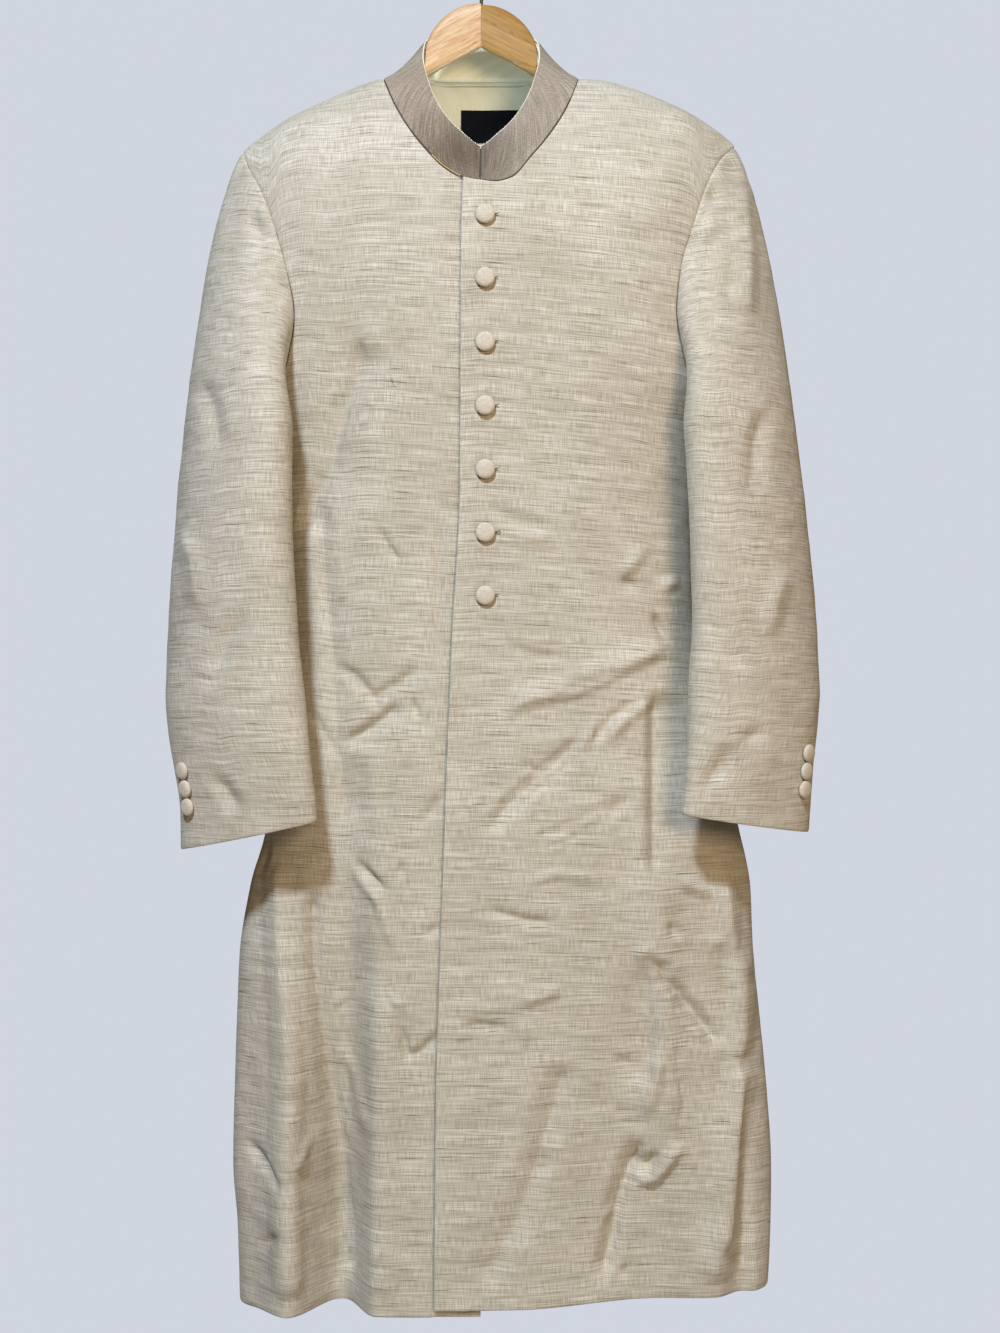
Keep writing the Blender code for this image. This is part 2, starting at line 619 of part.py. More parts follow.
# ---- the sewn pieces ----
def make_front(side, surface, collection):
    columns = panel_columns("front", side, FRONT_COLUMNS[side])
    rows = [[front_point(side, u, v) for u in columns] for v in panel_shares()]
    rows = inset(rows, (NECK_SEAM, 0.0, (0.0, SEAM)))
    cloth_grid("front_" + side, rows, CLOTH, surface, collection, flip=side == "right")


def sleeve_steps(head, arm):
    """Shares down a sleeve: its head, then the arm."""
    top = [SLEEVE_HEAD * k / head for k in range(head)]
    rest = [mix(SLEEVE_HEAD, 1.0, k / arm) for k in range(arm + 1)]
    return top + rest


def seam_turns(face):
    return [
        read(ARMHOLE_ROWS, ARMHOLE_COLUMNS, "share", share, face + "_turn")
        for share in armhole_shares()
    ]


def sleeve_turns(piece, v):
    """Degrees round a sleeve at which a piece's columns run, at one height."""
    front, back = seam_turns("front"), seam_turns("back")
    elbow = back[ELBOW_SEAM_STEP]
    moved_elbow = mix(elbow, 360.0 + ELBOW_SEAM_CUFF, smooth(v))
    if piece == "top":
        stretch = (moved_elbow - 360.0) / (elbow - 360.0)
        behind = [(turn - 360.0) * stretch for turn in back[ELBOW_SEAM_STEP:0:-1]]
        return behind + front[:FRONT_SEAM_STEP + 1]
    seam = front[FRONT_SEAM_STEP]
    stretch = (moved_elbow - seam) / (elbow - seam)
    around = front[FRONT_SEAM_STEP:] + back[-2:ELBOW_SEAM_STEP - 1:-1]
    return [seam + (turn - seam) * stretch for turn in around]


def sleeve_start(side, turn):
    """Share down a sleeve's column at which it stands clear of the armhole seam."""
    share, seam = armhole_seam(side, turn)[1:]
    along = (armhole_seam(side, turn + 1.0)[2] - armhole_seam(side, turn - 1.0)[2]).normalized()
    gap = mix(ARMHOLE_SEAM, UNDERARM_SEAM, smooth((share - SHARP_FROM) / SHARP_FADE))
    v = 0.0
    while (sleeve_point(side, turn, v) - seam).cross(along).length < gap:
        v += 0.01 * SLEEVE_HEAD
    return v


def make_sleeve(side, surface, collection):
    for piece in ("top", "under"):
        starts = [sleeve_start(side, turn) for turn in sleeve_turns(piece, 0.0)]
        rows = []
        for step in sleeve_steps(SLEEVE_HEAD_STEPS, SLEEVE_ARM_STEPS):
            row = []
            for start, turn in zip(starts, sleeve_turns(piece, step)):
                v = max(step, mix(start, SLEEVE_HEAD, step / SLEEVE_HEAD))
                row.append(sleeve_point(side, turn, v))
            rows.append(row)
        rows = inset(rows, (0.0, 0.0, (SEAM, SEAM)))
        name = "sleeve_" + side + "_" + piece
        cloth_grid(name, rows, CLOTH, surface, collection, flip=side == "left")


def collar_rows(heights, shift):
    """Rows of the band from the right front round to the left; shift moves it inwards."""
    across = [("right", s) for s in NECK_STATIONS]
    across += [("left", s) for s in reversed(NECK_STATIONS[:-1])]
    rows = []
    for height in heights:
        row = []
        for side, station in across:
            point = collar_point(side, station, height)
            step = 0.01
            ahead = collar_point(side, min(station + step, 1.0), height)
            behind = collar_point(side, max(station - step, 0.0), height)
            up = collar_point(side, station, 1.0) - collar_point(side, station, 0.0)
            inward = up.cross(ahead - behind).normalized() * SIDES[side]
            if station == 1.0:
                inward = Vector((0.0, -1.0, 0.0))
            row.append(point + inward * shift)
        rows.append(row)
    return rows


def make_collar(surface, lining, collection):
    rows = inset(collar_rows(COLLAR_HEIGHTS, 0.0), (NECK_SEAM, 0.0, (SEAM, SEAM)))
    cloth_grid("collar", rows, CLOTH, surface, collection)
    shift = 0.5 * (CLOTH + LINING) + COLLAR_LINING_GAP
    rows = collar_rows(COLLAR_LINING_HEIGHTS, shift)
    rows = inset(rows, (NECK_SEAM, 0.0, (COLLAR_LINING_SHORT, COLLAR_LINING_SHORT)))
    cloth_grid("collar_lining", rows, LINING, lining, collection)


def back_rows():
    right = panel_columns("back", "right", BACK_COLUMNS)
    left = panel_columns("back", "left", BACK_COLUMNS)
    across = [("right", u) for u in reversed(right)] + [("left", u) for u in left[1:]]
    rows = [
        [panel_point("back", side, u, v) for side, u in across]
        for v in panel_shares()
    ]
    return inset(rows, (NECK_SEAM, 0.0, (SEAM, SEAM)))


def make_back(rows, surface, collection):
    cloth_grid("back", rows, CLOTH, surface, collection, flip=True)


def moved(rows, distance):
    """A grid of points moved along its own normals; + is towards the front."""
    result = []
    for i, row in enumerate(rows):
        above = rows[max(i - 1, 0)]
        below = rows[min(i + 1, len(rows) - 1)]
        line = []
        for j, point in enumerate(row):
            across = row[min(j + 1, len(row) - 1)] - row[max(j - 1, 0)]
            normal = across.cross(above[j] - below[j]).normalized()
            line.append(point + normal * distance)
        result.append(line)
    return result


def make_back_lining(rows, surface, collection):
    """The lining of the back, as far down as the neck shows it, made from its points."""
    shift = 0.5 * (CLOTH + LINING) + LINING_GAP
    middle = (len(rows[0]) - 1) // 2
    near = [row[middle - LINING_COLUMNS:middle + LINING_COLUMNS + 1] for row in rows]
    inside = moved([row for row in near if -row[0].z < LINING_DROP], shift)
    inside = inset(inside, (LINING_NECK, 0.0, (0.0, 0.0)))
    cloth_grid("back_lining", inside, LINING, surface, collection)
    return inside


def depth_on(rows, x, drop):
    """Y of a grid of points under a place, read on the quad that holds it."""
    for upper, lower in zip(rows, rows[1:]):
        for a, b, c, d in zip(upper, upper[1:], lower, lower[1:]):
            u = (x - a.x) / (b.x - a.x)
            v = (drop + mix(a.z, b.z, u)) / (mix(a.z, b.z, u) - mix(c.z, d.z, u))
            if -0.01 <= u <= 1.01 and -0.01 <= v <= 1.01:
                return mix(mix(a.y, b.y, u), mix(c.y, d.y, u), v)
    raise ValueError("the place is off the grid")


def make_label(name, lining_rows, box, surface, collection):
    left, right, high, low = box
    shift = 0.5 * (LINING + LABEL) + LAYER_GAP
    rows = []
    for v in even_steps(2):
        drop = mix(high, low, v)
        places = [(mix(left, right, u), drop) for u in even_steps(4)]
        rows.append([
            Vector((x, depth_on(lining_rows, x, drop) - shift, -drop)) for x, drop in places
        ])
    cloth_grid(name, rows, LABEL, surface, collection)


def add_button(name, radius, height, place, facing, surface, collection):
    """A covered button: a turned dome with a tucked-in back, facing along a direction."""
    bm = bmesh.new()
    verts = [bm.verts.new((radius * r, 0.0, height * h)) for r, h in BUTTON_PROFILE]
    edges = [bm.edges.new(pair) for pair in zip(verts, verts[1:])]
    bmesh.ops.spin(
        bm, geom=verts + edges, axis=(0, 0, 1), cent=(0, 0, 0), steps=BUTTON_SIDES,
        angle=2.0 * math.pi, use_merge=True, use_duplicate=False,
    )
    bmesh.ops.remove_doubles(bm, verts=bm.verts, dist=1e-6)
    bmesh.ops.recalc_face_normals(bm, faces=bm.faces)
    made = add_object(name, bm, surface, collection)
    made.location = place
    made.rotation_mode = "QUATERNION"
    made.rotation_quaternion = Vector((0, 0, 1)).rotation_difference(facing)
    return made


def make_front_buttons(surface, collection):
    for k in range(BUTTON_COUNT):
        drop = BUTTON_FIRST + BUTTON_PITCH * k
        around = [
            surface_depth("front", BUTTON_X + dx, drop + dz)
            for dx in (-BUTTON_RADIUS, 0.0, BUTTON_RADIUS)
            for dz in (-BUTTON_RADIUS, 0.0, BUTTON_RADIUS)
        ]
        y = min(around) - LAP - 0.5 * CLOTH - BUTTON_SEAT
        add_button(
            "button_" + str(k + 1), BUTTON_RADIUS, BUTTON_HEIGHT,
            Vector((BUTTON_X, y, -drop)), Vector((0, -1, 0)), surface, collection,
        )


def make_cuff_buttons(side, surface, collection):
    first = CUFF_DROPS[side][1] - CUFF_BUTTON_UP
    for k in range(CUFF_BUTTON_COUNT):
        drop = first - CUFF_BUTTON_PITCH * k
        place = sleeve_section(side, CUFF_BUTTON_TURN, drop)
        round_by = sleeve_section(side, CUFF_BUTTON_TURN + 8.0, drop) - place
        down_by = sleeve_section(side, CUFF_BUTTON_TURN, drop + 0.01) - place
        outward = round_by.cross(down_by).normalized()
        if outward.y > 0.0:
            outward.negate()
        place += outward * (0.5 * CLOTH + CUFF_BUTTON_SEAT)
        add_button(
            "cuff_button_" + side + "_" + str(k + 1), CUFF_BUTTON_RADIUS,
            CUFF_BUTTON_HEIGHT, place, outward, surface, collection,
        )


# ---- the hanger ----
def hanger_stations(side):
    """Rows of HANGER_COLUMNS along one half of the hanger."""
    stations = list(HANGER_HEAD)
    first, last = HANGER_ARM[0][0], HANGER_ARM[-1][0]
    for reach, half_width, depth in HANGER_ARM:
        top = shoulder(reach, side) + 0.5 * CLOTH + HANGER_SEAT
        height = mix(HANGER_ARM_HEIGHT, HANGER_TIP_HEIGHT, (reach - first) / (last - first))
        stations.append((reach, top, top + height, half_width, depth))
    top, under, half_width, depth = stations[-1][1:]
    tip_width = HANGER_TIP_SHARE * half_width
    stations.append((HANGER_REACH, top + HANGER_ROUND, under, tip_width, depth))
    return stations


def make_hanger_half(side, surface, collection):
    bm = bmesh.new()
    rings = []
    for reach, top, under, half_width, depth in hanger_stations(side):
        centre = -0.5 * (top + under)
        half_height = 0.5 * (under - top)
        ring = []
        for k in range(HANGER_SIDES):
            angle = 2.0 * math.pi * (k + 0.5) / HANGER_SIDES
            c, s = math.cos(angle), math.sin(angle)
            size = (abs(c) ** HANGER_SECTION_POWER + abs(s) ** HANGER_SECTION_POWER)
            size = size ** (-1.0 / HANGER_SECTION_POWER)
            y = depth + half_width * c * size
            ring.append(bm.verts.new((SIDES[side] * reach, y, centre + half_height * s * size)))
        rings.append([bm.edges.new((ring[k - 1], ring[k])) for k in range(HANGER_SIDES)])
    for ring, following in zip(rings, rings[1:]):
        bmesh.ops.bridge_loops(bm, edges=ring + following)
    bmesh.ops.holes_fill(bm, edges=rings[0] + rings[-1], sides=HANGER_SIDES)
    bmesh.ops.triangulate(bm, faces=[f for f in bm.faces if len(f.verts) > 4])
    bmesh.ops.recalc_face_normals(bm, faces=bm.faces)
    add_object("hanger_" + side, bm, surface, collection)


def make_hook(surface, collection):
    """Round wire: a stem out of the wood, then the bend over the rail."""
    radius = HOOK_BEND + HOOK_RADIUS
    points = [(0.0, -HANGER_TOP + HOOK_SEAT)] + list(HOOK_STEM)
    for share in even_steps(HOOK_STEPS):
        angle = math.radians(mix(*HOOK_TURNS, share))
        points.append((radius * math.cos(angle), radius * math.sin(angle) - HOOK_BEND))
    curve = bpy.data.curves.new("hook", "CURVE")
    curve.dimensions = "3D"
    curve.bevel_depth = HOOK_RADIUS
    curve.bevel_resolution = 2
    curve.use_fill_caps = True
    spline = curve.splines.new("POLY")
    spline.points.add(len(points) - 1)
    for point, (x, z) in zip(spline.points, points):
        point.co = (x, HANGER_DEPTH, z, 1.0)
    curve.materials.append(surface)
    collection.objects.link(bpy.data.objects.new("hook", curve))


def main():
    for old in list(bpy.data.objects):
        bpy.data.objects.remove(old, do_unlink=True)
    collection = bpy.data.collections.new("sherwani_coat")
    bpy.context.scene.collection.children.link(collection)

    cloth = material("slub_suiting", COAT_CREAM, 0.85)
    band = material("slub_band", COLLAR_BEIGE, 0.85)
    lining = material("satin_lining", LINING_LEMON, 0.45)
    label = material("woven_label", LABEL_BLACK, 0.60)
    button = material("covered_button", COAT_CREAM, 0.80)
    wood = material("pale_wood", WOOD_PALE, 0.50)
    steel = material("dark_steel", STEEL_DARK, 0.35, 1.0)

    for side in SIDES:
        make_front(side, cloth, collection)
    back = back_rows()
    make_back(back, cloth, collection)
    for side in SIDES:
        make_sleeve(side, cloth, collection)
    make_collar(band, lining, collection)
    lining_rows = make_back_lining(back, lining, collection)
    make_label("neck_label", lining_rows, NECK_LABEL, label, collection)
    make_label("size_tab", lining_rows, SIZE_TAB, label, collection)
    make_front_buttons(button, collection)
    for side in SIDES:
        make_cuff_buttons(side, button, collection)
        make_hanger_half(side, wood, collection)
    make_hook(steel, collection)

    hang_point = bpy.data.objects.new("hang_point", None)
    hang_point.location = (0.0, -HANGER_DEPTH, 0.0)
    bpy.context.scene.collection.objects.link(hang_point)
    for piece in collection.objects:
        piece.parent = hang_point


main()
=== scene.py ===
import math
from functools import partial
import bpy
import bmesh
import numpy as np
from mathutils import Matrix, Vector, noise


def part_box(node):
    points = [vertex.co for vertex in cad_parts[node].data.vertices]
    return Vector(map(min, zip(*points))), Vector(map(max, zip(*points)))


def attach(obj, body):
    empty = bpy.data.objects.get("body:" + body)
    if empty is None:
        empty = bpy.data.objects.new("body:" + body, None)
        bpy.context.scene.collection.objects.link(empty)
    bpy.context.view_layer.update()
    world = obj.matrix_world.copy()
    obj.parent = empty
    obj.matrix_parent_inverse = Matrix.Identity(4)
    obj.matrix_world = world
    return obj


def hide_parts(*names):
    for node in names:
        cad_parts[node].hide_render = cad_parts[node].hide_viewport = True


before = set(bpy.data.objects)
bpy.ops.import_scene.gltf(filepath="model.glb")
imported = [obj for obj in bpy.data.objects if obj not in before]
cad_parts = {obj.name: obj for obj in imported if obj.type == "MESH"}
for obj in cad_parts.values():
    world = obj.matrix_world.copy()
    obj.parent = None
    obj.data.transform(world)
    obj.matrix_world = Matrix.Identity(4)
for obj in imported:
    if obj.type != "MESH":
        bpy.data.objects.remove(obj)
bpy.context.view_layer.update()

# The coat and its hanger hang from the origin, +X is the wearer's left and the front
# faces -Y. Heights are drops, metres below the origin; the tables hold metres.
hangerDepth = 0.012     # the whole coat lies this far in front of its own shoulder line
sides = {"left": 1.0, "right": -1.0}

camera = {      # for a picture of 1000 by 1333
    "place": (0.0179, -1.872, -0.690),
    "lens": 52.84,
    "sensor": 36.0,
}

studio = {
    "background": "#D0D5E0",
    "ambient": "#FFE1B6",
    "ambientStrength": 0.13,
    # each lamp: the way from the coat to it, its distance, power, size and tint
    "lamps": {
        "key": ((-0.20, -0.72, 0.66), 3.4, 132.0, 0.40, "#DDEBFF"),
        "fill": ((0.34, -0.93, 0.12), 2.65, 30.0, 0.85, "#FFE1BC"),
    },
    "aim": (0.0, 0.0, -0.50),
    # a small lamp inside the neck, for the lining: place, power, radius, tint
    "neckLamp": ((0.0, -0.036, -0.166), 0.115, 0.012, "#D5F1FF"),
    "floorDrop": 1.75,
    "floorRadius": 0.95,
}

coat = {
    "wall": 0.0014,
    "step": 0.0029,         # spacing of the fronts' grid
    "wideStep": 0.0038,     # and of the back's and the sleeves'
    "lap": 0.0013,
    "lapFrom": {"left": 0.030, "right": -0.045},
    "lapFade": 0.045,
    "edgeMarks": (0.0007, 0.0016, 0.0028),   # closer rows beside each edge
    "edgeClear": 0.0009,    # the even rows start this far past them
    "edgeRoll": 0.0007,     # how far an edge turns in
    "edgeRollWidth": 0.0032,
    "cornerRoll": 1.3,      # and a corner, at most, as a share of that
    "neckSeam": 0.0012,
    "shoulderClose": 40,    # the higher, the nearer to the shoulder seam the gap closes
    "seamHold": 0.012,      # the creases die away this near to a seam
}
crumple = {     # the small unevenness all over
    "height": 0.0007,
    "width": 0.050,
    "level": 0.5,
    # ridges of two sizes: across, down, height and place in the noise
    "ridges": ((1.0, 0.75, 1.4, 0.0), (2.3, 1.9, 0.6, 9.0)),
}

# Shapes that the pieces share. curve() reads one column where another has a value.
bodyTable = {
    "columns": ("drop", "left", "right", "middle", "side", "front", "back"),
    "rows": (
        (0.110, 0.245, 0.235, 0.000, 0.000, 0.084, 0.090),
        (0.197, 0.245, 0.232, 0.002, 0.001, 0.088, 0.085),
        (0.300, 0.243, 0.230, 0.004, 0.004, 0.090, 0.084),
        (0.360, 0.240, 0.226, 0.005, 0.007, 0.090, 0.082),
        (0.400, 0.232, 0.219, 0.005, 0.009, 0.090, 0.080),
        (0.430, 0.222, 0.211, 0.006, 0.010, 0.089, 0.078),
        (0.450, 0.213, 0.204, 0.006, 0.011, 0.088, 0.076),
        (0.475, 0.205, 0.196, 0.006, 0.012, 0.087, 0.074),
        (0.550, 0.202, 0.190, 0.006, 0.013, 0.084, 0.069),
        (0.650, 0.205, 0.187, 0.007, 0.013, 0.081, 0.062),
        (0.750, 0.222, 0.193, 0.008, 0.011, 0.079, 0.060),
        (0.845, 0.2450, 0.2047, 0.010, 0.008, 0.077, 0.060),
        (0.900, 0.2555, 0.2195, 0.012, 0.007, 0.075, 0.060),
        (0.960, 0.2580, 0.2290, 0.013, 0.006, 0.073, 0.060),
        (1.020, 0.2640, 0.2315, 0.015, 0.005, 0.071, 0.059),
        (1.100, 0.2715, 0.2340, 0.017, 0.004, 0.069, 0.058),
        (1.160, 0.2750, 0.2350, 0.019, 0.003, 0.067, 0.057),
        (1.220, 0.2740, 0.2305, 0.020, 0.002, 0.066, 0.056),
        (1.290, 0.2710, 0.2285, 0.0215, 0.002, 0.066, 0.056),
    ),
}
shoulderTable = {
    "columns": ("reach", "left", "right", "depth"),
    "rows": (
        (0.000, 0.134, 0.134, 0.000),
        (0.093, 0.134, 0.134, 0.000),
        (0.111, 0.1350, 0.1390, 0.000),
        (0.140, 0.1420, 0.1510, 0.000),
        (0.180, 0.1580, 0.1700, -0.001),
        (0.200, 0.1680, 0.1830, -0.002),
        (0.225, 0.1845, 0.2020, -0.004),
        (0.240, 0.1970, 0.2150, -0.005),
        (0.260, 0.2150, 0.2320, -0.005),
    ),
}
armholeTable = {
    "columns": (
        "share", "left_drop", "right_drop", "left_front", "right_front",
        "left_back", "right_back", "front_turn", "back_turn",
    ),
    "rows": (
        (0.00, 0.1970, 0.2020, 0.2400, 0.2250, 0.2400, 0.2250, 0.0, 360.0),
        (0.08, 0.2160, 0.2190, 0.2235, 0.2190, 0.2335, 0.2225, 22.0, 347.0),
        (0.18, 0.2420, 0.2430, 0.2100, 0.2060, 0.2265, 0.2165, 45.0, 333.0),
        (0.32, 0.2780, 0.2800, 0.1975, 0.1915, 0.2165, 0.2080, 75.0, 318.0),
        (0.48, 0.3200, 0.3220, 0.1845, 0.1790, 0.2085, 0.2000, 108.0, 303.0),
        (0.64, 0.3610, 0.3650, 0.1800, 0.1712, 0.2045, 0.1955, 138.0, 290.0),
        (0.78, 0.3980, 0.4010, 0.1865, 0.1775, 0.2045, 0.1955, 168.0, 277.0),
        (0.90, 0.4300, 0.4330, 0.1975, 0.1890, 0.2080, 0.1985, 205.0, 262.0),
        (1.00, 0.4500, 0.4550, 0.2130, 0.2040, 0.2130, 0.2040, 245.0, 245.0),
    ),
}
sleeveTable = {
    "columns": (
        "drop", "left_inner", "left_outer", "right_inner", "right_outer",
        "inner_depth", "outer_depth", "half_depth",
    ),
    "rows": (
        (0.470, 0.1860, 0.2975, 0.1720, 0.2805, -0.079, -0.006, 0.046),
        (0.540, 0.1900, 0.3055, 0.1715, 0.2870, -0.081, -0.010, 0.046),
        (0.650, 0.1930, 0.3147, 0.1665, 0.2930, -0.084, -0.018, 0.043),
        (0.713, 0.1890, 0.3165, 0.1600, 0.2944, -0.087, -0.026, 0.040),
        (0.750, 0.1883, 0.3131, 0.1560, 0.2910, -0.089, -0.032, 0.037),
        (0.790, 0.1855, 0.3080, 0.1520, 0.2835, -0.091, -0.038, 0.032),
        (0.820, 0.1830, 0.3055, 0.1483, 0.2790, -0.092, -0.042, 0.028),
        (0.862, 0.1810, 0.3020, 0.1465, 0.2775, -0.092, -0.044, 0.026),
    ),
}
collarTable = {
    "columns": (
        "station", "left_reach", "left_drop", "right_reach", "right_drop", "back_depth",
        "top_reach", "top_drop", "top_depth",
    ),
    "rows": (
        (0.00, 0.0004, 0.2475, 0.0004, 0.2475, 0.0000, 0.0004, 0.2100, -0.052),
        (0.09, 0.0140, 0.2490, 0.0156, 0.2445, 0.0000, 0.0070, 0.2055, -0.051),
        (0.18, 0.0290, 0.2450, 0.0320, 0.2350, 0.0000, 0.0150, 0.1980, -0.049),
        (0.28, 0.0470, 0.2240, 0.0520, 0.2140, 0.0000, 0.0265, 0.1865, -0.045),
        (0.38, 0.0660, 0.1980, 0.0690, 0.1900, 0.0000, 0.0380, 0.1700, -0.038),
        (0.49, 0.0810, 0.1700, 0.0815, 0.1655, 0.0000, 0.0490, 0.1430, -0.022),
        (0.60, 0.0930, 0.1340, 0.0930, 0.1340, 0.0000, 0.0555, 0.1110, 0.000),
        (0.70, 0.0885, 0.1310, 0.0885, 0.1310, 0.0230, 0.0545, 0.0900, 0.024),
        (0.80, 0.0690, 0.1230, 0.0690, 0.1230, 0.0450, 0.0430, 0.0780, 0.045),
        (0.90, 0.0350, 0.1165, 0.0350, 0.1165, 0.0560, 0.0225, 0.0740, 0.057),
        (1.00, 0.0000, 0.1155, 0.0000, 0.1155, 0.0600, 0.0000, 0.0730, 0.061),
    ),
}
edgeTable = {
    "columns": ("drop", "overlap", "underlap"),
    "rows": (
        (0.240, -0.0154, 0.0260),
        (0.300, -0.0172, 0.0250),
        (0.528, -0.0188, 0.0220),
        (0.666, -0.0261, 0.0160),
        (0.886, -0.0344, 0.0090),
        (1.088, -0.0408, 0.0030),
        (1.290, -0.0427, 0.0000),
    ),
}
cuffDrops = {"left": (0.8235, 0.8430), "right": (0.8300, 0.8590)}
hemDrops = {"left": (1.2820, 1.2750), "right": (1.2880, 1.2900)}
foldColumns = (
    "x_top", "drop_top", "x_low", "drop_low", "reach_minus", "reach_plus", "depth", "hem",
)
frontFolds = (
    (-0.120, 0.690, -0.1300, 1.290, 0.052, 0.034, 0.050, 1),
    (-0.186, 0.820, -0.1790, 1.290, 0.036, 0.046, -0.018, 1),
    (0.120, 0.900, 0.1500, 1.290, 0.110, 0.085, 0.018, 1),
    (0.158, 0.780, 0.1720, 1.180, 0.030, 0.030, -0.008, 0),
    (-0.112, 0.350, -0.1660, 0.560, 0.022, 0.022, 0.006, 0),
    (0.236, 1.000, 0.2420, 1.290, 0.022, 0.018, 0.010, 1),
)
backFolds = (
    (-0.085, 0.640, -0.1100, 1.290, 0.055, 0.050, -0.020, 1),
    (0.100, 0.620, 0.1350, 1.290, 0.060, 0.052, -0.022, 1),
    (0.010, 0.760, 0.0300, 1.290, 0.040, 0.042, -0.010, 1),
)

form = {
    "sectionPower": 2.3,
    "neckReach": 0.093,
    "neckRoll": 0.19,
    "tipReach": 0.2,
    "tipRoll": 0.11,
    "neckPointRoll": 0.045,
    "neckPointSpread": 0.035,
    "neckPoint": 0.60,
    "centreBackFrom": 0.110,
    "centreBackFade": 0.100,
    "armholeShare": 0.26,
    "armholeSteps": 13,
    "shoulderCrowding": 1.6,
    "foldHold": 3.0,        # the folds flatten out towards the side seams
}

sleeve = {
    "head": 0.36,
    "headLift": np.array((0.088, 0.0, -0.135)),
    "sideLift": np.array((0.030, 0.0, -0.040)),
    "underarmLift": np.array((0.100, 0.0, -0.040)),
    "underarmFrom": 0.78,
    "sideSwell": 0.050,
    "swellFall": 1.8,
    "headFullness": 1.5,
    "fullLiftLength": 0.12,
    "elbowSeamCuff": -8.0,
    "frontSeamStep": 12,
    "elbowSeamStep": 6,
    "seamGap": (0.0004, 0.0022),
    "sharpFrom": 0.40,
}


def mix(a, b, t):
    return a + (b - a) * t


def smooth(t):
    t = np.clip(t, 0.0, 1.0)
    return t * t * (3.0 - 2.0 * t)


def unit(v):
    return v / np.linalg.norm(v, axis=-1, keepdims=True)


def hermite(a, leave, b, arrive, t):
    return (
        a * (2 * t ** 3 - 3 * t ** 2 + 1) + leave * (t ** 3 - 2 * t ** 2 + t)
        + b * (3 * t ** 2 - 2 * t ** 3) + arrive * (t ** 3 - t ** 2)
    )


def curve(table, given, wanted, value, rows=None):
    # value of one column where another has the given value, never overshooting a row
    rows = np.array(table["rows"] if rows is None else rows)
    xs, ys = (rows[:, table["columns"].index(name)] for name in (given, wanted))
    value = np.asarray(value, dtype=float)
    rise = np.diff(ys) / np.diff(xs)
    before = np.concatenate((rise[:1], rise))
    after = np.concatenate((rise, rise[-1:]))
    same = before * after > 0.0
    slope = np.where(same, 2.0 * before * after / np.where(same, before + after, 1.0), 0.0)
    i = np.clip(np.searchsorted(xs, value, side="right") - 1, 0, len(xs) - 2)
    step = xs[i + 1] - xs[i]
    t = np.clip((value - xs[i]) / step, 0.0, 1.0)
    return hermite(ys[i], slope[i] * step, ys[i + 1], slope[i + 1] * step, t)


def bySide(x, value):
    # a value read for each side, taken from the side that x is on
    return np.where(x >= 0.0, value("left"), value("right"))


def foldDepth(folds, x, drop):
    total = np.zeros(np.broadcast(x, drop).shape)
    for fold in folds:
        f = dict(zip(foldColumns, fold))
        t = (drop - f["drop_top"]) / (f["drop_low"] - f["drop_top"])
        along = smooth(t) if f["hem"] else np.sin(np.pi * np.clip(t, 0.0, 1.0))
        away = x - mix(f["x_top"], f["x_low"], t)
        reach = np.where(away > 0.0, f["reach_plus"], f["reach_minus"])
        inside = (np.abs(away) < reach) & (t > 0.0)
        total += inside * f["depth"] * along * 0.5 * (1.0 + np.cos(np.pi * away / reach))
    return total


def neckline(face, x, wanted):
    # a collar column where the neckline passes x
    rows = [row for row in collarTable["rows"] if row[0] <= form["neckPoint"]]
    if face == "back":
        rows = [row for row in reversed(collarTable["rows"]) if row[0] >= form["neckPoint"]]
    return bySide(x, lambda side: curve(
        collarTable, side + "_reach", side + "_" + wanted if wanted == "drop" else wanted,
        np.abs(x), rows,
    ))


def surfaceDepth(face, x, drop):
    # Y of the front or the back of the body
    middle = curve(bodyTable, "drop", "middle", drop)
    half = bySide(x, lambda side: curve(bodyTable, "drop", side, drop) - sides[side] * middle)
    power = form["sectionPower"]
    share = np.minimum(np.abs(x - middle) / half, 1.0)
    crown = (1.0 - share ** power) ** (1.0 / power)
    reach = np.abs(x)
    top = bySide(x, lambda side: curve(shoulderTable, "reach", side, reach))
    edge = curve(shoulderTable, "reach", "depth", reach)
    side = curve(bodyTable, "drop", "side", drop)
    held = np.minimum(1.0, form["foldHold"] * crown)
    if face == "front":
        full = side - curve(bodyTable, "drop", "front", drop) * crown
        full = full + foldDepth(frontFolds, x, drop) * held
        fromNeck = (reach - form["neckReach"]) / (form["tipReach"] - form["neckReach"])
        roll = mix(form["neckRoll"], form["tipRoll"], smooth(fromNeck))
    else:
        full = side + curve(bodyTable, "drop", "back", drop) * crown
        full = full - foldDepth(backFolds, x, drop) * held
        inNeck = reach < form["neckReach"]
        top = np.where(inNeck, neckline("back", x, "drop"), top)
        edge = np.where(inNeck, neckline("back", x, "back_depth"), edge)
        near = np.exp(-(((reach - form["neckReach"]) / form["neckPointSpread"]) ** 2))
        roll = mix(form["tipRoll"], form["neckPointRoll"], near)
    t = np.clip((drop - top) / roll, 0.0, 1.0)
    return mix(edge, full, np.sqrt(1.0 - (1.0 - t) ** 2))


def armholePoint(side, face, share):
    drop = curve(armholeTable, "share", side + "_drop", share)
    return sides[side] * curve(armholeTable, "share", side + "_" + face, share), drop


def topPoint(face, x):
    drop = bySide(x, lambda side: curve(shoulderTable, "reach", side, np.abs(x)))
    inNeck = np.abs(x) < form["neckReach"]
    return x, np.where(inNeck, neckline(face, x, "drop"), drop)


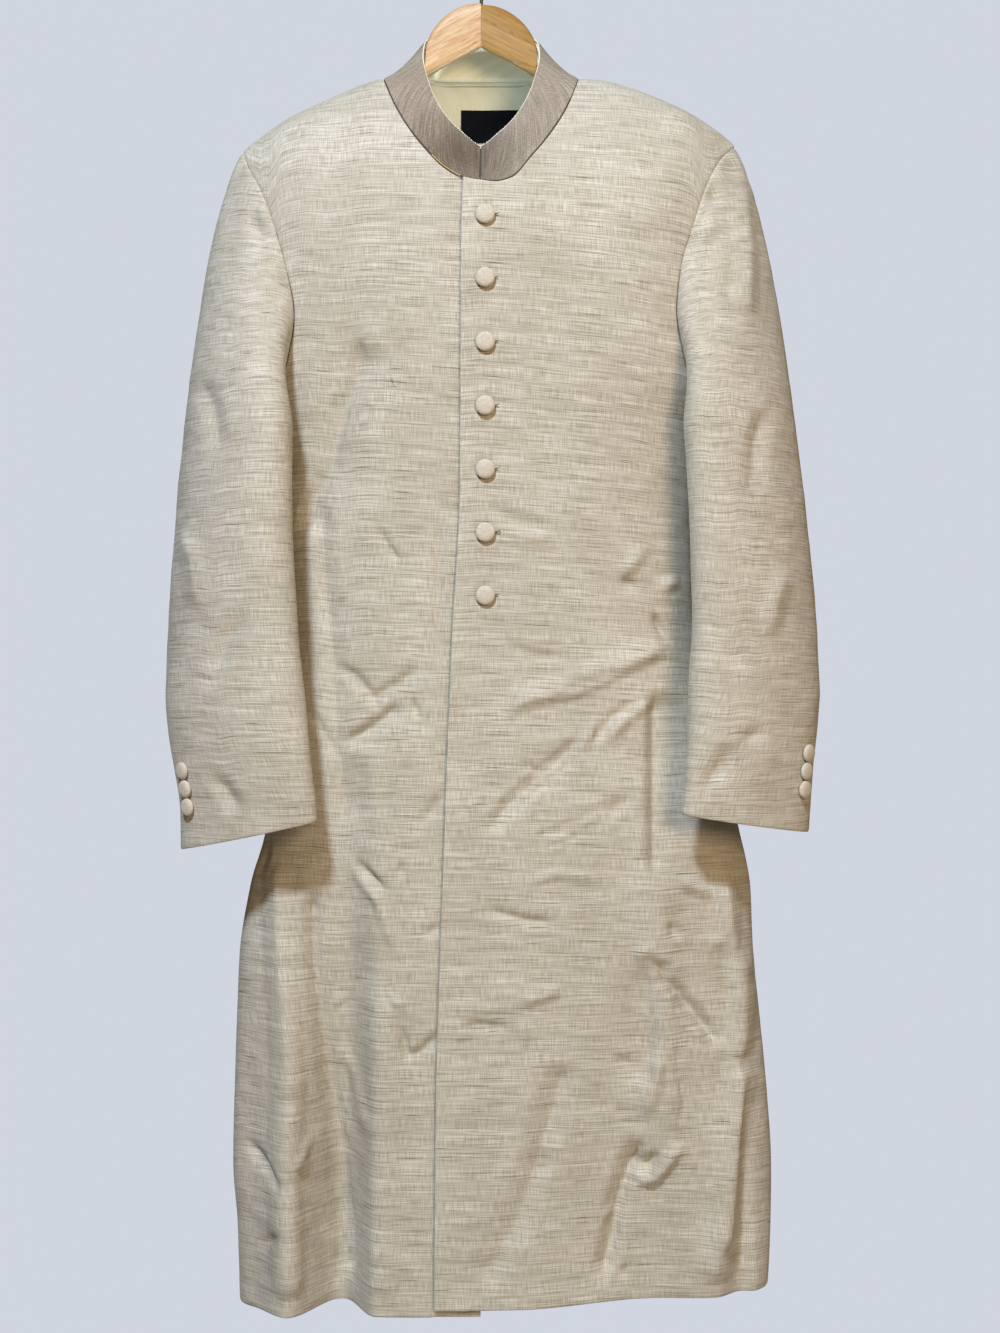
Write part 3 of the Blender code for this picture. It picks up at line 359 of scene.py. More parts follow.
def outerPoint(side, face, v):
    share = form["armholeShare"]
    armhole = armholePoint(side, face, np.minimum(v / share, 1.0))
    underarm = armholePoint(side, face, 1.0)[1]
    drop = mix(underarm, hemDrops[side][1], (v - share) / (1.0 - share))
    seam = sides[side] * curve(bodyTable, "drop", side, drop)
    above = v < share
    return np.where(above, armhole[0], seam), np.where(above, armhole[1], drop)


def innerPoint(face, side, v):
    if face == "front":
        edge = "overlap" if side == "left" else "underlap"
        xTop = curve(edgeTable, "drop", edge, edgeTable["rows"][0][0])
        drop = mix(neckline("front", xTop, "drop"), hemDrops[side][0], v)
        return curve(edgeTable, "drop", edge, drop), drop
    hem = mix(hemDrops["left"][1], hemDrops["right"][1], 0.5)
    drop = mix(neckline("back", np.zeros(1), "drop")[0], hem, v)
    fade = smooth((drop - form["centreBackFrom"]) / form["centreBackFade"])
    return curve(bodyTable, "drop", "middle", drop) * fade, drop


def panelPoint(face, side, u, v):
    # u runs from the front edge or centre back to the side, v from the neck to the hem
    inner, outer = innerPoint(face, side, v), outerPoint(side, face, v)
    zero, one = np.zeros(1), np.ones(1)
    cornerTop, cornerLow = innerPoint(face, side, zero), innerPoint(face, side, one)
    tip, sideLow = outerPoint(side, face, zero), outerPoint(side, face, one)
    top = topPoint(face, mix(cornerTop[0], tip[0], u))
    flat = []
    for axis in range(2):
        low = mix(cornerLow[axis], sideLow[axis], u)
        ruled = mix(top[axis], low, v) + mix(inner[axis], outer[axis], u)
        flat.append(ruled - mix(mix(cornerTop[axis], tip[axis], u), low, v))
    x, drop = flat
    return np.stack((x, surfaceDepth(face, x, drop), -drop), axis=-1)


def closeShoulder(face, side, u, v):
    # the neck's edge stands clear of the collar, the shoulder's edge runs to the seam
    x = panelPoint(face, side, u, np.zeros(u.shape))[..., 0]
    past = smooth((np.abs(x) - form["neckReach"]) / coat["seamHold"])
    return v - v[0, 0] * past * (1.0 - v) ** coat["shoulderClose"]


def frontPoint(side, u, v):
    point = panelPoint("front", side, u, v)
    past = sides[side] * (point[..., 0] - coat["lapFrom"][side])
    point[..., 1] -= sides[side] * coat["lap"] * (1.0 - smooth(past / coat["lapFade"]))
    return point


def sleeveSection(side, turn, drop):
    def at(wanted):
        return curve(sleeveTable, "drop", wanted, drop)

    angle = np.radians(turn)
    across = 0.5 * (1.0 + np.cos(angle))
    depth = mix(at("inner_depth"), at("outer_depth"), across) - at("half_depth") * np.sin(angle)
    x = sides[side] * mix(at(side + "_inner"), at(side + "_outer"), across)
    return np.stack(np.broadcast_arrays(x, depth, -drop), axis=-1)


def armholeSeam(side, turn):
    # which face, share of the armhole, and point of its seam above a turn of the sleeve
    turn = np.mod(turn, 360.0)
    underarm = armholeTable["rows"][-1][7]
    onFront = turn <= underarm
    frontShare = curve(armholeTable, "front_turn", "share", turn)
    backShare = curve(armholeTable, "back_turn", "share", turn, armholeTable["rows"][::-1])
    points = []
    for face, share in (("front", frontShare), ("back", backShare)):
        x, drop = armholePoint(side, face, share)
        points.append(np.stack((x, surfaceDepth(face, x, drop), -drop), axis=-1))
    point = np.where(onFront[..., None], points[0], points[1])
    return onFront, np.where(onFront, frontShare, backShare), point


def sleevePoint(side, turn, v):
    turn, v = np.broadcast_arrays(np.asarray(turn, float), np.asarray(v, float))
    first = np.full(turn.shape, sleeveTable["rows"][0][0])
    height = 0.5 * (1.0 + np.cos(np.radians(turn)))
    innerCuff, outerCuff = cuffDrops[side]
    low = mix(innerCuff, outerCuff, height)
    drop = mix(first, low, np.maximum(v - sleeve["head"], 0.0) / (1.0 - sleeve["head"]))
    arm = sleeveSection(side, turn, drop)
    onFront, share, seam = armholeSeam(side, turn)
    end = sleeveSection(side, turn, first)
    below = sleeveSection(side, turn, np.full(turn.shape, sleeveTable["rows"][1][0])) - end
    length = np.linalg.norm(end - seam, axis=-1, keepdims=True)
    full = (height ** sleeve["headFullness"])[..., None]
    leave = mix(sleeve["sideLift"], sleeve["headLift"], full)
    under = smooth((share - sleeve["underarmFrom"]) / (1.0 - sleeve["underarmFrom"]))
    leave = mix(leave, sleeve["underarmLift"], under[..., None])
    leave = leave * np.minimum(1.0, length / sleeve["fullLiftLength"])
    swell = sleeve["sideSwell"] * np.sin(np.pi * share ** sleeve["swellFall"])
    leave[..., 0] *= sides[side]
    leave[..., 1] = np.where(onFront, -swell, swell)
    w = (np.minimum(v, sleeve["head"]) / sleeve["head"])[..., None]
    head = hermite(seam, leave, end, unit(below) * length, w)
    return np.where((v >= sleeve["head"])[..., None], arm, head)


def collarAt(station, wanted):
    return curve(collarTable, "station", wanted, station)


def collarPoint(side, station, height):
    # height 0 is the neck seam, 1 the top edge
    x = sides[side] * collarAt(station, side + "_reach")
    onFront = station < form["neckPoint"]
    drop = np.where(onFront, neckline("front", x, "drop"), neckline("back", x, "drop"))
    depth = np.where(
        onFront, surfaceDepth("front", x, drop), surfaceDepth("back", x, drop)
    )
    base = np.stack((x, depth, -drop), axis=-1)
    top = np.stack((
        sides[side] * collarAt(station, "top_reach"),
        collarAt(station, "top_depth"),
        -collarAt(station, "top_drop"),
    ), axis=-1)
    return mix(base, top, np.asarray(height)[..., None])


def linear(hexColour):
    # sRGB hex to the linear colour that shaders take
    parts = [int(hexColour[i:i + 2], 16) / 255.0 for i in (1, 3, 5)]
    return tuple(
        p / 12.92 if p <= 0.04045 else ((p + 0.055) / 1.055) ** 2.4 for p in parts
    ) + (1.0,)


def feed(node, inputs):
    # an input takes a value or is linked to another node's output
    for key, value in inputs.items():
        if isinstance(value, bpy.types.NodeSocket):
            node.id_data.links.new(value, node.inputs[key])
        else:
            node.inputs[key].default_value = value


def addNode(tree, kind, inputs=None, output=0, **settings):
    node = tree.nodes.new("ShaderNode" + kind)
    for key, value in settings.items():
        setattr(node, key, value)
    feed(node, inputs or {})
    return node.outputs[output]


def startMaterial(name):
    made = bpy.data.materials.new(name)
    made.use_nodes = True
    tree = made.node_tree
    return made, partial(addNode, tree), tree.nodes["Principled BSDF"]


def streaks(add, uv, sizeMm, detail=2.0, shift=0.0):
    # noise drawn out into threads of a size across and along the cloth
    mapped = add("Mapping", {
        "Vector": uv, "Location": (shift, shift * 0.7, 0.0),
        "Scale": (1000.0 / sizeMm[0], 1000.0 / sizeMm[1], 1.0),
    })
    return add("TexNoise", {
        "Vector": mapped, "Scale": 1.0, "Detail": detail, "Roughness": 0.55,
    }, noise_dimensions="2D")


def layered(add, colour, layers):
    # each layer: a pattern, the values between which it comes in, the most that it
    # covers, and its colour
    for pattern, low, high, most, tint in layers:
        shown = add("MapRange", {0: pattern, 1: low, 2: high, 3: 0.0, 4: most})
        colour = add("Mix", {0: shown, 6: colour, 7: linear(tint)}, 2, data_type="RGBA")
    return colour


# Slub suiting, a silk and linen blend woven with uneven yarn: matt, with a fine
# crosshatch and short dark knots along the weft. Threads of 0.4 mm are too fine to
# show, so they are drawn more than twice as coarse.
suiting = {
    "light": "#DDD9CB",
    "dark": "#A8A08C",
    "slub": "#51462A",
    "paleSlub": "#F1EDE3",
    # sizes across and along, detail, and how far each pattern is moved from the rest
    "weft": ((40.0, 0.9), 1.0, 0.0),
    "warp": ((0.85, 15.0), 1.0, 3.1),
    "line": ((90.0, 0.9), 1.0, 31.0),
    "knot": ((46.0, 0.85), 1.0, 7.7),
    "pale": ((46.0, 0.85), 1.0, 19.3),
    "stripe": ((240.0, 8.0), 3.0, 11.9),
    "patch": ((80.0, 60.0), 2.0, 23.0),
    # between which values each comes in, and the most that it covers
    "weave": (0.34, 0.66, 1.0),
    "tone": (0.75, 1.25, 0.40),
    "lines": (0.58, 0.66, 0.30),
    "knots": (0.73, 0.79, 0.95),
    "lights": (0.66, 0.74, 0.30),
    "weftShare": 0.55,
    "knotHeight": 0.5,
    "bumpMm": 0.22,
    "bump": 0.5,
    "crumpleMm": 26.0,
    "crumpleBumpMm": 3.0,
    "crumple": 0.45,
    "sockets": {
        "Roughness": 0.85, "Sheen Weight": 0.12, "Sheen Roughness": 0.5,
        "Specular IOR Level": 0.25,
    },
}
# The collar band: the suiting, with its colours drawn darker all over as painted shade.
shadedBand = dict(
    suiting, light="#B3A796", dark="#847767", slub="#5A4F3C", paleSlub="#D6CFC2",
    weft=((40.0, 1.1), 1.0, 0.0), warp=((1.1, 5.0), 1.0, 3.1), knots=(0.70, 0.76, 0.5),
    stripe=((160.0, 7.0), 3.0, 11.9), crumple=0.2,
    # painted shade, darkest round one place by the front slit: where, how far, colour and share
    paintedShade=((-0.018, -0.060, -0.232), 0.075, "#7F735F", 0.75),
)
covered = dict(
    suiting, light="#D6D0C0", dark="#BFB6A3", slub="#A89878", knots=(0.73, 0.79, 0.3),
    weft=((4.0, 0.9), 1.0, 0.0), warp=((0.9, 4.0), 1.0, 3.1), knot=((5.0, 0.9), 1.0, 7.7),
    pale=((5.0, 0.9), 1.0, 19.3), stripe=((40.0, 6.0), 3.0, 11.9),
    lines=(0.58, 0.66, 0.1), crumple=0.1,
)


def wovenCloth(name, look):
    made, add, shader = startMaterial(name)
    uv, place = add("UVMap", uv_map="weave"), add("TexCoord", output="Object")
    weft, warp, line, knot, pale, stripe, patch = (
        streaks(add, uv, *look[key])
        for key in ("weft", "warp", "line", "knot", "pale", "stripe", "patch")
    )
    share = look["weftShare"]
    weave = add("Math", {0: warp, 1: 1.0 - share}, operation="MULTIPLY")
    weave = add("Math", {0: weft, 1: share, 2: weave}, operation="MULTIPLY_ADD")
    tone = add("Math", {0: stripe, 1: patch}, operation="ADD")
    low, high, most = look["knots"]
    knots = add("MapRange", {0: knot, 1: low, 2: high, 3: 0.0, 4: most})
    colour = layered(add, linear(look["dark"]), (
        (weave, *look["weave"], look["light"]),
        (tone, *look["tone"], look["dark"]),
        (line, *look["lines"], look["slub"]),
        (knots, 0.0, 1.0, 1.0, look["slub"]),
        (pale, *look["lights"], look["paleSlub"]),
    ))
    # painted shade: the band grows darker towards one place at its front
    if "paintedShade" in look:
        centre, reach, tint, most = look["paintedShade"]
        away = add("VectorMath", {0: place, 1: centre}, "Value", operation="DISTANCE")
        shadeShare = add("MapRange", {0: away, 1: 0.25 * reach, 2: reach, 3: most, 4: 0.0})
        colour = add("Mix", {0: shadeShare, 6: colour, 7: linear(tint)}, 2,
                     data_type="RGBA", blend_type="MULTIPLY")
    height = add("Math", {0: knots, 1: look["knotHeight"], 2: weave},
                 operation="MULTIPLY_ADD")
    threads = add("Bump", {
        "Strength": look["bump"], "Distance": look["bumpMm"] * 0.001, "Height": height,
    })
    rumple = add("TexNoise", {
        "Vector": place, "Scale": 1000.0 / look["crumpleMm"], "Detail": 3.0,
    })
    soft = add("Bump", {
        "Strength": look["crumple"], "Distance": look["crumpleBumpMm"] * 0.001,
        "Height": rumple, "Normal": threads,
    })
    feed(shader, {"Base Color": colour, "Normal": soft, **look["sockets"]})
    return made


# Acetate satin, woven with long floats: smooth, with a soft stretched shine. The
# label is damask-woven polyester: dense and dark, with a faint ribbed sheen.
satin = {
    "light": "#FBF8E2",
    "dark": "#EFE8C4",
    "thread": (1.2, 26.0),
    "patch": (24.0, 40.0),
    "tone": (0.70, 1.30),       # of the two patterns together
    "bump": 0.4,
    "bumpMm": 0.12,
    "sockets": {"Roughness": 0.46, "Sheen Weight": 0.15, "Specular IOR Level": 0.4},
}
piping = dict(satin, light="#F8F3DC", dark="#EAE3C2", thread=(1.2, 3.0))
damask = {
    "light": "#12131D",
    "dark": "#06060E",
    "thread": (9.0, 0.8),
    "tone": (0.0, 1.0),
    "bump": 0.5,
    "bumpMm": 0.1,
    "sockets": {"Roughness": 0.75, "Specular IOR Level": 0.12},
}


def smoothWeave(name, look):
    made, add, shader = startMaterial(name)
    uv = add("UVMap", uv_map="weave")
    thread = tone = streaks(add, uv, look["thread"])
    if "patch" in look:
        patch = streaks(add, uv, look["patch"], shift=5.0)
        tone = add("Math", {0: thread, 1: patch}, operation="ADD")
    colour = layered(add, linear(look["dark"]), ((tone, *look["tone"], 1.0, look["light"]),))
    bump = add("Bump", {
        "Strength": look["bump"], "Distance": look["bumpMm"] * 0.001, "Height": thread,
    })
    feed(shader, {"Base Color": colour, "Normal": bump, **look["sockets"]})
    return made


# Lotus wood, sanded and lacquered: pale honey, with short dark flecks along the arm.
wood = {
    "light": "#D4B58B",
    "dark": "#BF9462",
    "fleck": "#A9743C",
    "grainMm": (38.0, 4.0, 2.0),
    "fleckMm": (11.0, 1.2, 0.8),
    "grain": (0.36, 0.66, 1.0),
    "flecks": (0.60, 0.68, 0.75),
    "armSlope": 0.47,       # radians by which the grain runs down along the arm
    "shift": 0.0,
    "bump": 0.2,
    "bumpMm": 0.3,
    "sockets": {
        "Roughness": 0.50, "Coat Weight": 0.12, "Coat Roughness": 0.30,
        "Specular IOR Level": 0.35,
    },
}
# The hanger's half on the wearer's left: the same wood, darker and more orange, with its grain
# mirrored.
darkerHalfWood = dict(
    wood, light="#AB864B", dark="#987139", fleck="#74501F", flecks=(0.60, 0.68, 0.35),
    armSlope=-0.47, shift=0.4,
)


def lacqueredWood(name, look):
    made, add, shader = startMaterial(name)
    alongArm = add("Mapping", {
        "Vector": add("TexCoord", output="Object"), "Rotation": (0.0, look["armSlope"], 0.0),
        "Location": (look["shift"], look["shift"], 0.0),
    })
    grain, fleck = (
        add("TexNoise", {
            "Vector": add("Mapping", {
                "Vector": alongArm, "Scale": tuple(1000.0 / s for s in look[size]),
            }),
            "Scale": 1.0, "Detail": detail,
        })
        for size, detail in (("grainMm", 3.0), ("fleckMm", 1.0))
    )
    colour = layered(add, linear(look["light"]), (
        (grain, *look["grain"], look["dark"]), (fleck, *look["flecks"], look["fleck"]),
    ))
    bump = add("Bump", {
        "Strength": look["bump"], "Distance": look["bumpMm"] * 0.001, "Height": fleck,
    })
    feed(shader, {"Base Color": colour, "Normal": bump, **look["sockets"]})
    return made


# Steel wire, drawn and blackened: a dull dark shine with faint draw marks.
steelWire = {
    "light": "#5A5A5E",
    "dark": "#3A3A3D",
    "mottleMm": 1.1111,
    "detail": 2.0,
    "dull": (0.3, 0.7, 0.28, 0.44),     # the roughness follows the marks
    "sockets": {"Metallic": 1.0},
}
# Spun polyester thread, twisted: matt, a shade darker than the cloth.
spunThread = {
    "shade": 0.6,       # the dark of its twist, as a share of its colour
    "mottleMm": 0.71429,
    "detail": 1.0,
    "sockets": {"Roughness": 0.7, "Sheen Weight": 0.2},
}
# Painted board, rolled matt: the studio's floor.
paint = {
    "light": "#DDDFE3",
    "dark": "#D6D8DC",
    "mottleMm": 166.667,
    "detail": 2.0,
    "sockets": {"Roughness": 0.8},
}


def mottled(name, look, **changes):
    # an even material whose colour wavers a little
    look = dict(look, **changes)
    made, add, shader = startMaterial(name)
    cloud = add("TexNoise", {
        "Vector": add("TexCoord", output="Object"), "Scale": 1000.0 / look["mottleMm"],
        "Detail": look["detail"],
    })
    dark = linear(look.get("dark", look["light"]))
    dark = tuple(look.get("shade", 1.0) * c for c in dark[:3]) + (1.0,)
    colour = layered(add, dark, ((cloud, 0.0, 1.0, 1.0, look["light"]),))
    feed(shader, {"Base Color": colour, **look["sockets"]})
    if "dull" in look:
        low, high, smoothest, dullest = look["dull"]
        dull = add("MapRange", {0: cloud, 1: low, 2: high, 3: smoothest, 4: dullest})
        feed(shader, {"Roughness": dull})
    return made


looks = {
    "coat": wovenCloth("slubSuiting", suiting),
    "shadedBand": wovenCloth("slubBandPaintedShade", shadedBand),
    "covered": wovenCloth("coveredButtonCloth", covered),
    "lining": smoothWeave("satinLining", satin),
    "label": smoothWeave("wovenLabel", damask),
    "woodRight": lacqueredWood("lacqueredWood", wood),
    "woodLeft": lacqueredWood("lacqueredWoodDeeper", darkerHalfWood),
    "steel": mottled("blackenedSteel", steelWire),
    "thread": mottled("buttonholeThread", spunThread, light="#7D6C4C"),
    # near-black thread on the neck seam and in the front slit: painted shadow
    "seam": mottled("neckSeamPaintedShadow", spunThread, light="#4A3E2E"),
    # dark thread on the facing's seam: painted shadow
    "liningSeamShadow": mottled("liningSeamPaintedShadow", spunThread, light="#77703F"),
    "edge": smoothWeave("satinPiping", piping),
    "binding": mottled("neckBindingThread", spunThread, light="#D9BE78"),
    "floor": mottled("paintedFloor", paint),
}
print("materials made")

# Each crease: how far its slope reaches (mm) on the left and the right hand of somebody
# walking along it, how far its crest stands out (mm, less than nothing is a trough),
# and then its path, x and drop of one point after another (mm).
frontCreases = (
    (9, 9, -1.3, 0, 539, 22, 552, 68, 566),
    (9, 10, 0.9, 18, 568, 72, 576),
    (5, 6, -0.9, -37, 552, -39, 620, -38, 684),
    (30, 8, -3.2, -109, 390, -117, 426, -130, 452, -142, 503, -158, 533, -167, 571),
    (6, 7, 1.2, -99, 551, -68, 595),
    (4, 7, -1.4, 160, 636, 176, 670),
    (4, 6, -1.4, 134, 690, 97, 705, 69, 715),
    (5, 6, -1.4, 161, 716, 123, 736, 109, 761),
    (5, 7, 1.4, 112, 737, 89, 767, 61, 788, 21, 825),
    (5, 7, 1.5, 126, 819, 89, 839, 46, 857),
    (14, 18, -2.4, 80, 1052, 57, 1132, 35, 1199, -2, 1260),
    (16, 7, 2.2, 220, 884, 234, 957, 239, 1015, 232, 1106, 224, 1186, 220, 1239),
    (6, 6, 1.2, -125, 866, -93, 907, -77, 957),
    (5, 6, -0.9, 18, 666, 50, 680, 83, 684),
    (5, 6, 1, 37, 888, 72, 880, 112, 884),
    (7, 9, -0.8, -117, 395, -104, 400),
    (14, 8, -1.6, -150, 539, -146, 611, -141, 648, -137, 711, -134, 757, -123, 839),
    (6, 6, -1.3, -159, 726, -131, 781),
    (7, 7, -1.7, -100, 552, -70, 600),
    (6, 8, -1.8, -139, 685, -117, 698, -99, 718, -77, 706, -53, 689),
    (4, 4, -1.2, -100, 718, -94, 731),
    (6, 10, -2.6, -133, 765, -100, 745, -67, 720),
    (5, 5, -1.2, -65, 716, -54, 742),
    (7, 7, -1.3, -30, 799, -57, 841),
    (9, 9, -0.9, -112, 766, -112, 840),
    (9, 9, -0.8, -86, 766, -88, 840),
    (8, 8, 1.6, 154, 578, 128, 608),
    (7, 7, -1.7, 128, 606, 147, 622),
    (8, 8, 1.3, 161, 621, 188, 606),
    (5, 5, -1, 158, 637, 175, 668),
    (9, 15, 2.2, 176, 670, 127, 691, 86, 711, 45, 720, 20, 732),
    (8, 8, 1.8, 160, 716, 131, 740, 109, 762),
    (5, 5, -1.4, 109, 737, 107, 766),
    (9, 9, -2.4, 101, 750, 59, 789, 27, 816, 7, 841),
    (5, 5, -1.2, 34, 776, 60, 790),
    (8, 10, -1.6, 147, 806, 100, 834, 68, 846, 43, 858),
    (26, 10, -3.6, 163, 710, 162, 793, 160, 878, 154, 888),
    (6, 8, 2, 172, 877, 187, 889, 213, 901, 221, 909),
    (16, 12, 2, 228, 868, 226, 902, 224, 939, 208, 959),
    (16, 14, 1.8, 241, 952, 242, 1020, 241, 1061),
    (6, 6, -1.7, 171, 924, 185, 944),
    (6, 6, 1.6, 138, 960, 160, 946),
    (7, 9, -3.4, 150, 957, 170, 969, 172, 978, 185, 991, 198, 1009, 209, 1023, 223, 1044),
    (4, 5, 1.4, 192, 1024, 218, 1041),
    (18, 20, -2.6, 150, 961, 154, 1020, 154, 1082),
    (6, 7, 1.7, 167, 1040, 160, 1075),
    (4, 4, -0.9, 180, 1034, 185, 1070),
    (6, 6, -1.4, 122, 1048, 141, 1061),
    (8, 15, 2.4, 166, 1049, 157, 1089, 151, 1111),
    (4, 4, -1.1, 182, 1061, 189, 1093, 185, 1108, 199, 1117),
    (7, 5, 3, 190, 1128, 178, 1141, 169, 1153, 162, 1162, 153, 1166, 140, 1157),
    (9, 8, -3.2, 167, 1137, 154, 1152, 139, 1146),
    (4, 15, -4.4, 152, 1125, 140, 1158, 129, 1192, 125, 1221, 115, 1262),
    (5, 5, 1.2, 126, 1186, 110, 1208),
    (18, 16, 3.2, 241, 1055, 235, 1100, 229, 1141, 224, 1183, 221, 1213, 214, 1269),
    (4, 4, -0.9, 120, 1249, 133, 1252, 146, 1239),
    (6, 8, -2.4, -121, 867, -98, 887, -80, 900),
    (5, 5, -1.2, -67, 868, -79, 884),
    (6, 6, -1.3, -34, 926, -56, 940),
    (6, 6, -2.2, -79, 1013, -71, 1031, -67, 1048, -55, 1045, -43, 1032, -36, 1020),
    (5, 5, 1.3, -86, 992, -68, 1004),
    (5, 5, 1.2, -138, 1009, -127, 994),
    (6, 7, 1.3, -138, 1041, -117, 1069, -105, 1125),
    (6, 7, -1.8, 0, 910, 20, 917, 43, 923, 74, 926),
    (7, 8, 1.8, 73, 976, 67, 989, 50, 993, 27, 997),
    (6, 6, -1.8, -23, 1020, -2, 1019, 34, 1023),
    (4, 4, 1.1, -28, 1030, -2, 1026),
    (5, 5, 1.1, 40, 1010, 39, 1044),
    (11, 17, 3.2, -187, 868, -184, 938, -181, 980, -177, 1038, -175, 1080, -178, 1145,
     -177, 1208, -175, 1277),
    (5, 14, -3.2, -154, 893, -151, 967, -142, 1038, -134, 1109, -129, 1165, -125, 1208,
     -122, 1271),
    (7, 7, -1.7, -199, 842, -208, 891),
    (7, 7, -2.4, -224, 1129, -194, 1159, -178, 1178),
    (7, 7, -2, -210, 1234, -178, 1209),
    (5, 5, 1.7, -179, 1158, -167, 1145, -161, 1124),
    (6, 6, -0.9, -132, 1124, -116, 1167),
    (15, 15, 1.4, -88, 989, -88, 1129, -87, 1277),
)
sleeveCreases = (
    (10, 10, -2.0, -217, 272, -204, 290, -194, 302),
    (7, 7, 1.2, -208, 262, -192, 278),
    (6, 6, -1.6, 196, 284, 206, 275, 214, 272),
    (6, 6, 1.3, 199, 296, 212, 286, 222, 284),
    (8, 8, -1.6, 200, 228, 212, 245, 225, 270),
    (12, 14, 1.8, 243, 225, 247, 300, 243, 372),
    (10, 12, -2.2, 232, 757, 214, 782, 196, 812),
    (9, 9, -1.6, 259, 743, 246, 753, 232, 762),
    (10, 10, -2.2, -247, 785, -232, 802, -214, 826),
    (12, 12, -1.5, -262, 420, -246, 452, -236, 500),
    (12, 14, 1.6, -280, 560, -262, 590, -256, 640),
    (12, 12, -1.6, 262, 450, 250, 490, 246, 540),
    (12, 12, 1.5, 284, 600, 268, 622, 258, 668),
    (10, 12, -1.6, -205, 640, -226, 662, -244, 700),
    (10, 12, -1.5, 205, 640, 222, 668, 240, 700),
)
backCreases = (
    (14, 12, 2.2, -150, 330, -120, 400, -112, 480),
    (12, 14, 2.2, 150, 330, 128, 392, 122, 470),
    (12, 12, -2.0, -180, 520, -120, 560, -60, 575),
    (12, 12, -2.0, 185, 530, 120, 575, 60, 590),
    (10, 12, 1.8, -150, 640, -95, 615, -40, 612),
    (12, 10, 1.8, 40, 650, 100, 640, 160, 665),
    (9, 9, -1.6, -60, 700, -10, 720, 30, 712),
    (14, 12, 2.2, -120, 760, -160, 840, -170, 930),
    (12, 14, -2.2, 60, 780, 75, 870, 70, 960),
    (14, 12, 2.2, -30, 860, -50, 950, -45, 1040),
    (12, 12, -2.4, 130, 900, 165, 960, 190, 1040),
    (8, 10, -2.0, -130, 1000, -100, 1030, -70, 1040),
    (9, 9, 1.8, 20, 1060, 60, 1085, 95, 1090),
    (14, 16, 3.0, -205, 1080, -190, 1160, -186, 1330),
    (12, 16, 2.6, 30, 1100, 12, 1200, 10, 1330),
    (14, 14, -2.8, 180, 1090, 200, 1180, 206, 1330),
    (12, 12, -2.4, -60, 1150, -85, 1230, -92, 1330),
    (10, 10, -1.0, 0, 230, 0, 300, 2, 380),
)
crest = {
    "round": 0.45,      # mm
    "fade": 22.0,       # mm over which a crease comes and goes
    "endShare": 0.45,   # and of a short one's length, at most
    "fall": 1.15,
    "reach": 1.2,       # all the slopes are this much wider than their tables say
    "lift": 2.9,        # and this much higher
}


def creaseHeight(creases, x, drop):
    total = np.zeros(x.shape)
    x, drop = x * 1000.0, drop * 1000.0
    for leftHand, rightHand, lift, *path in creases:
        path = list(zip(path[::2], path[1::2]))
        legs = [math.dist(a, b) for a, b in zip(path, path[1:])]
        fade = min(crest["fade"], crest["endShare"] * sum(legs))
        nearest = np.full(x.shape, 1e9)
        along = np.zeros(x.shape)
        hand = np.zeros(x.shape)
        walked = 0.0
        for (ax, ay), (bx, by), leg in zip(path, path[1:], legs):
            dx, dy = (bx - ax) / leg, (by - ay) / leg
            t = np.clip((x - ax) * dx + (drop - ay) * dy, 0.0, leg)
            offX, offY = x - ax - dx * t, drop - ay - dy * t
            away = np.hypot(offX, offY)
            closer = away < nearest
            nearest = np.where(closer, away, nearest)
            along = np.where(closer, walked + t, along)
            hand = np.where(closer, dx * offY - dy * offX, hand)
            walked += leg
        reach = crest["reach"] * np.where(hand < 0.0, leftHand, rightHand)
        rounded = np.sqrt(nearest ** 2 + crest["round"] ** 2) - crest["round"]
        slope = np.clip(1.0 - rounded / reach, 0.0, 1.0) ** crest["fall"]
        ends = smooth(along / fade) * smooth((walked - along) / fade)
        total += 0.001 * crest["lift"] * lift * slope * ends
    return total


def crumpleHeight(x, drop, seed):
    # small soft ridges all over
    made = np.full(x.size, crumple["level"])
    places = list(zip(x.ravel() / crumple["width"], drop.ravel() / crumple["width"]))
    for across, down, height, shift in crumple["ridges"]:
        for i, (a, b) in enumerate(places):
            ridge = noise.noise(Vector((across * a, down * b, seed + shift)))
            made[i] -= height * abs(ridge)
    return crumple["height"] * made.reshape(x.shape)


def runAlong(path):
    return np.concatenate(([0.0], np.cumsum(np.linalg.norm(np.diff(path, axis=0), axis=1))))


def evenly(path, count):
    # a line through so many points at even steps, and how far along each of them is
    run = runAlong(path)
    marks = np.linspace(0.0, run[-1], count)
    return np.stack([np.interp(marks, run, column) for column in path.T], axis=-1), marks


def evenShares(path, step, gap=0.0):
    # shares along a path at even steps, with closer ones beside both of its ends
    fine = np.linspace(0.0, 1.0, 1600)
    lengths = runAlong(path(fine))
    end = lengths[-1]
    marks = np.linspace(gap, end, int(round((end - gap) / step)) + 1)
    beside = np.array(coat["edgeMarks"])
    clear = beside[-1] + coat["edgeClear"]
    inner = marks[(marks > gap + clear) & (marks < end - clear)]
    marks = np.concatenate(([gap], gap + beside, inner, end - beside[::-1], [end]))
    return np.interp(marks, lengths, fine)


def gridShares(point, step, fixed, gap=0.0):
    # shares down and across a piece, each measured where the other is fixed
    down = evenShares(lambda v: point(np.full(v.shape, fixed[0]), v), step, gap)
    across = evenShares(lambda u: point(u, np.full(u.shape, fixed[1])), step)
    return np.meshgrid(down, across, indexing="ij")


def runLengths(points, axis):
    legs = np.linalg.norm(np.diff(points, axis=axis), axis=-1)
    pad = [(0, 0), (0, 0)]
    pad[axis] = (1, 0)
    return np.pad(np.cumsum(legs, axis=axis), pad)


def runFrom(points, edge):
    # length over the surface from a named edge
    axis = 0 if edge in ("top", "low") else 1
    run = runLengths(points, axis)
    if edge in ("low", "end"):
        run = (run[-1:, :] if axis == 0 else run[:, -1:]) - run
    return run


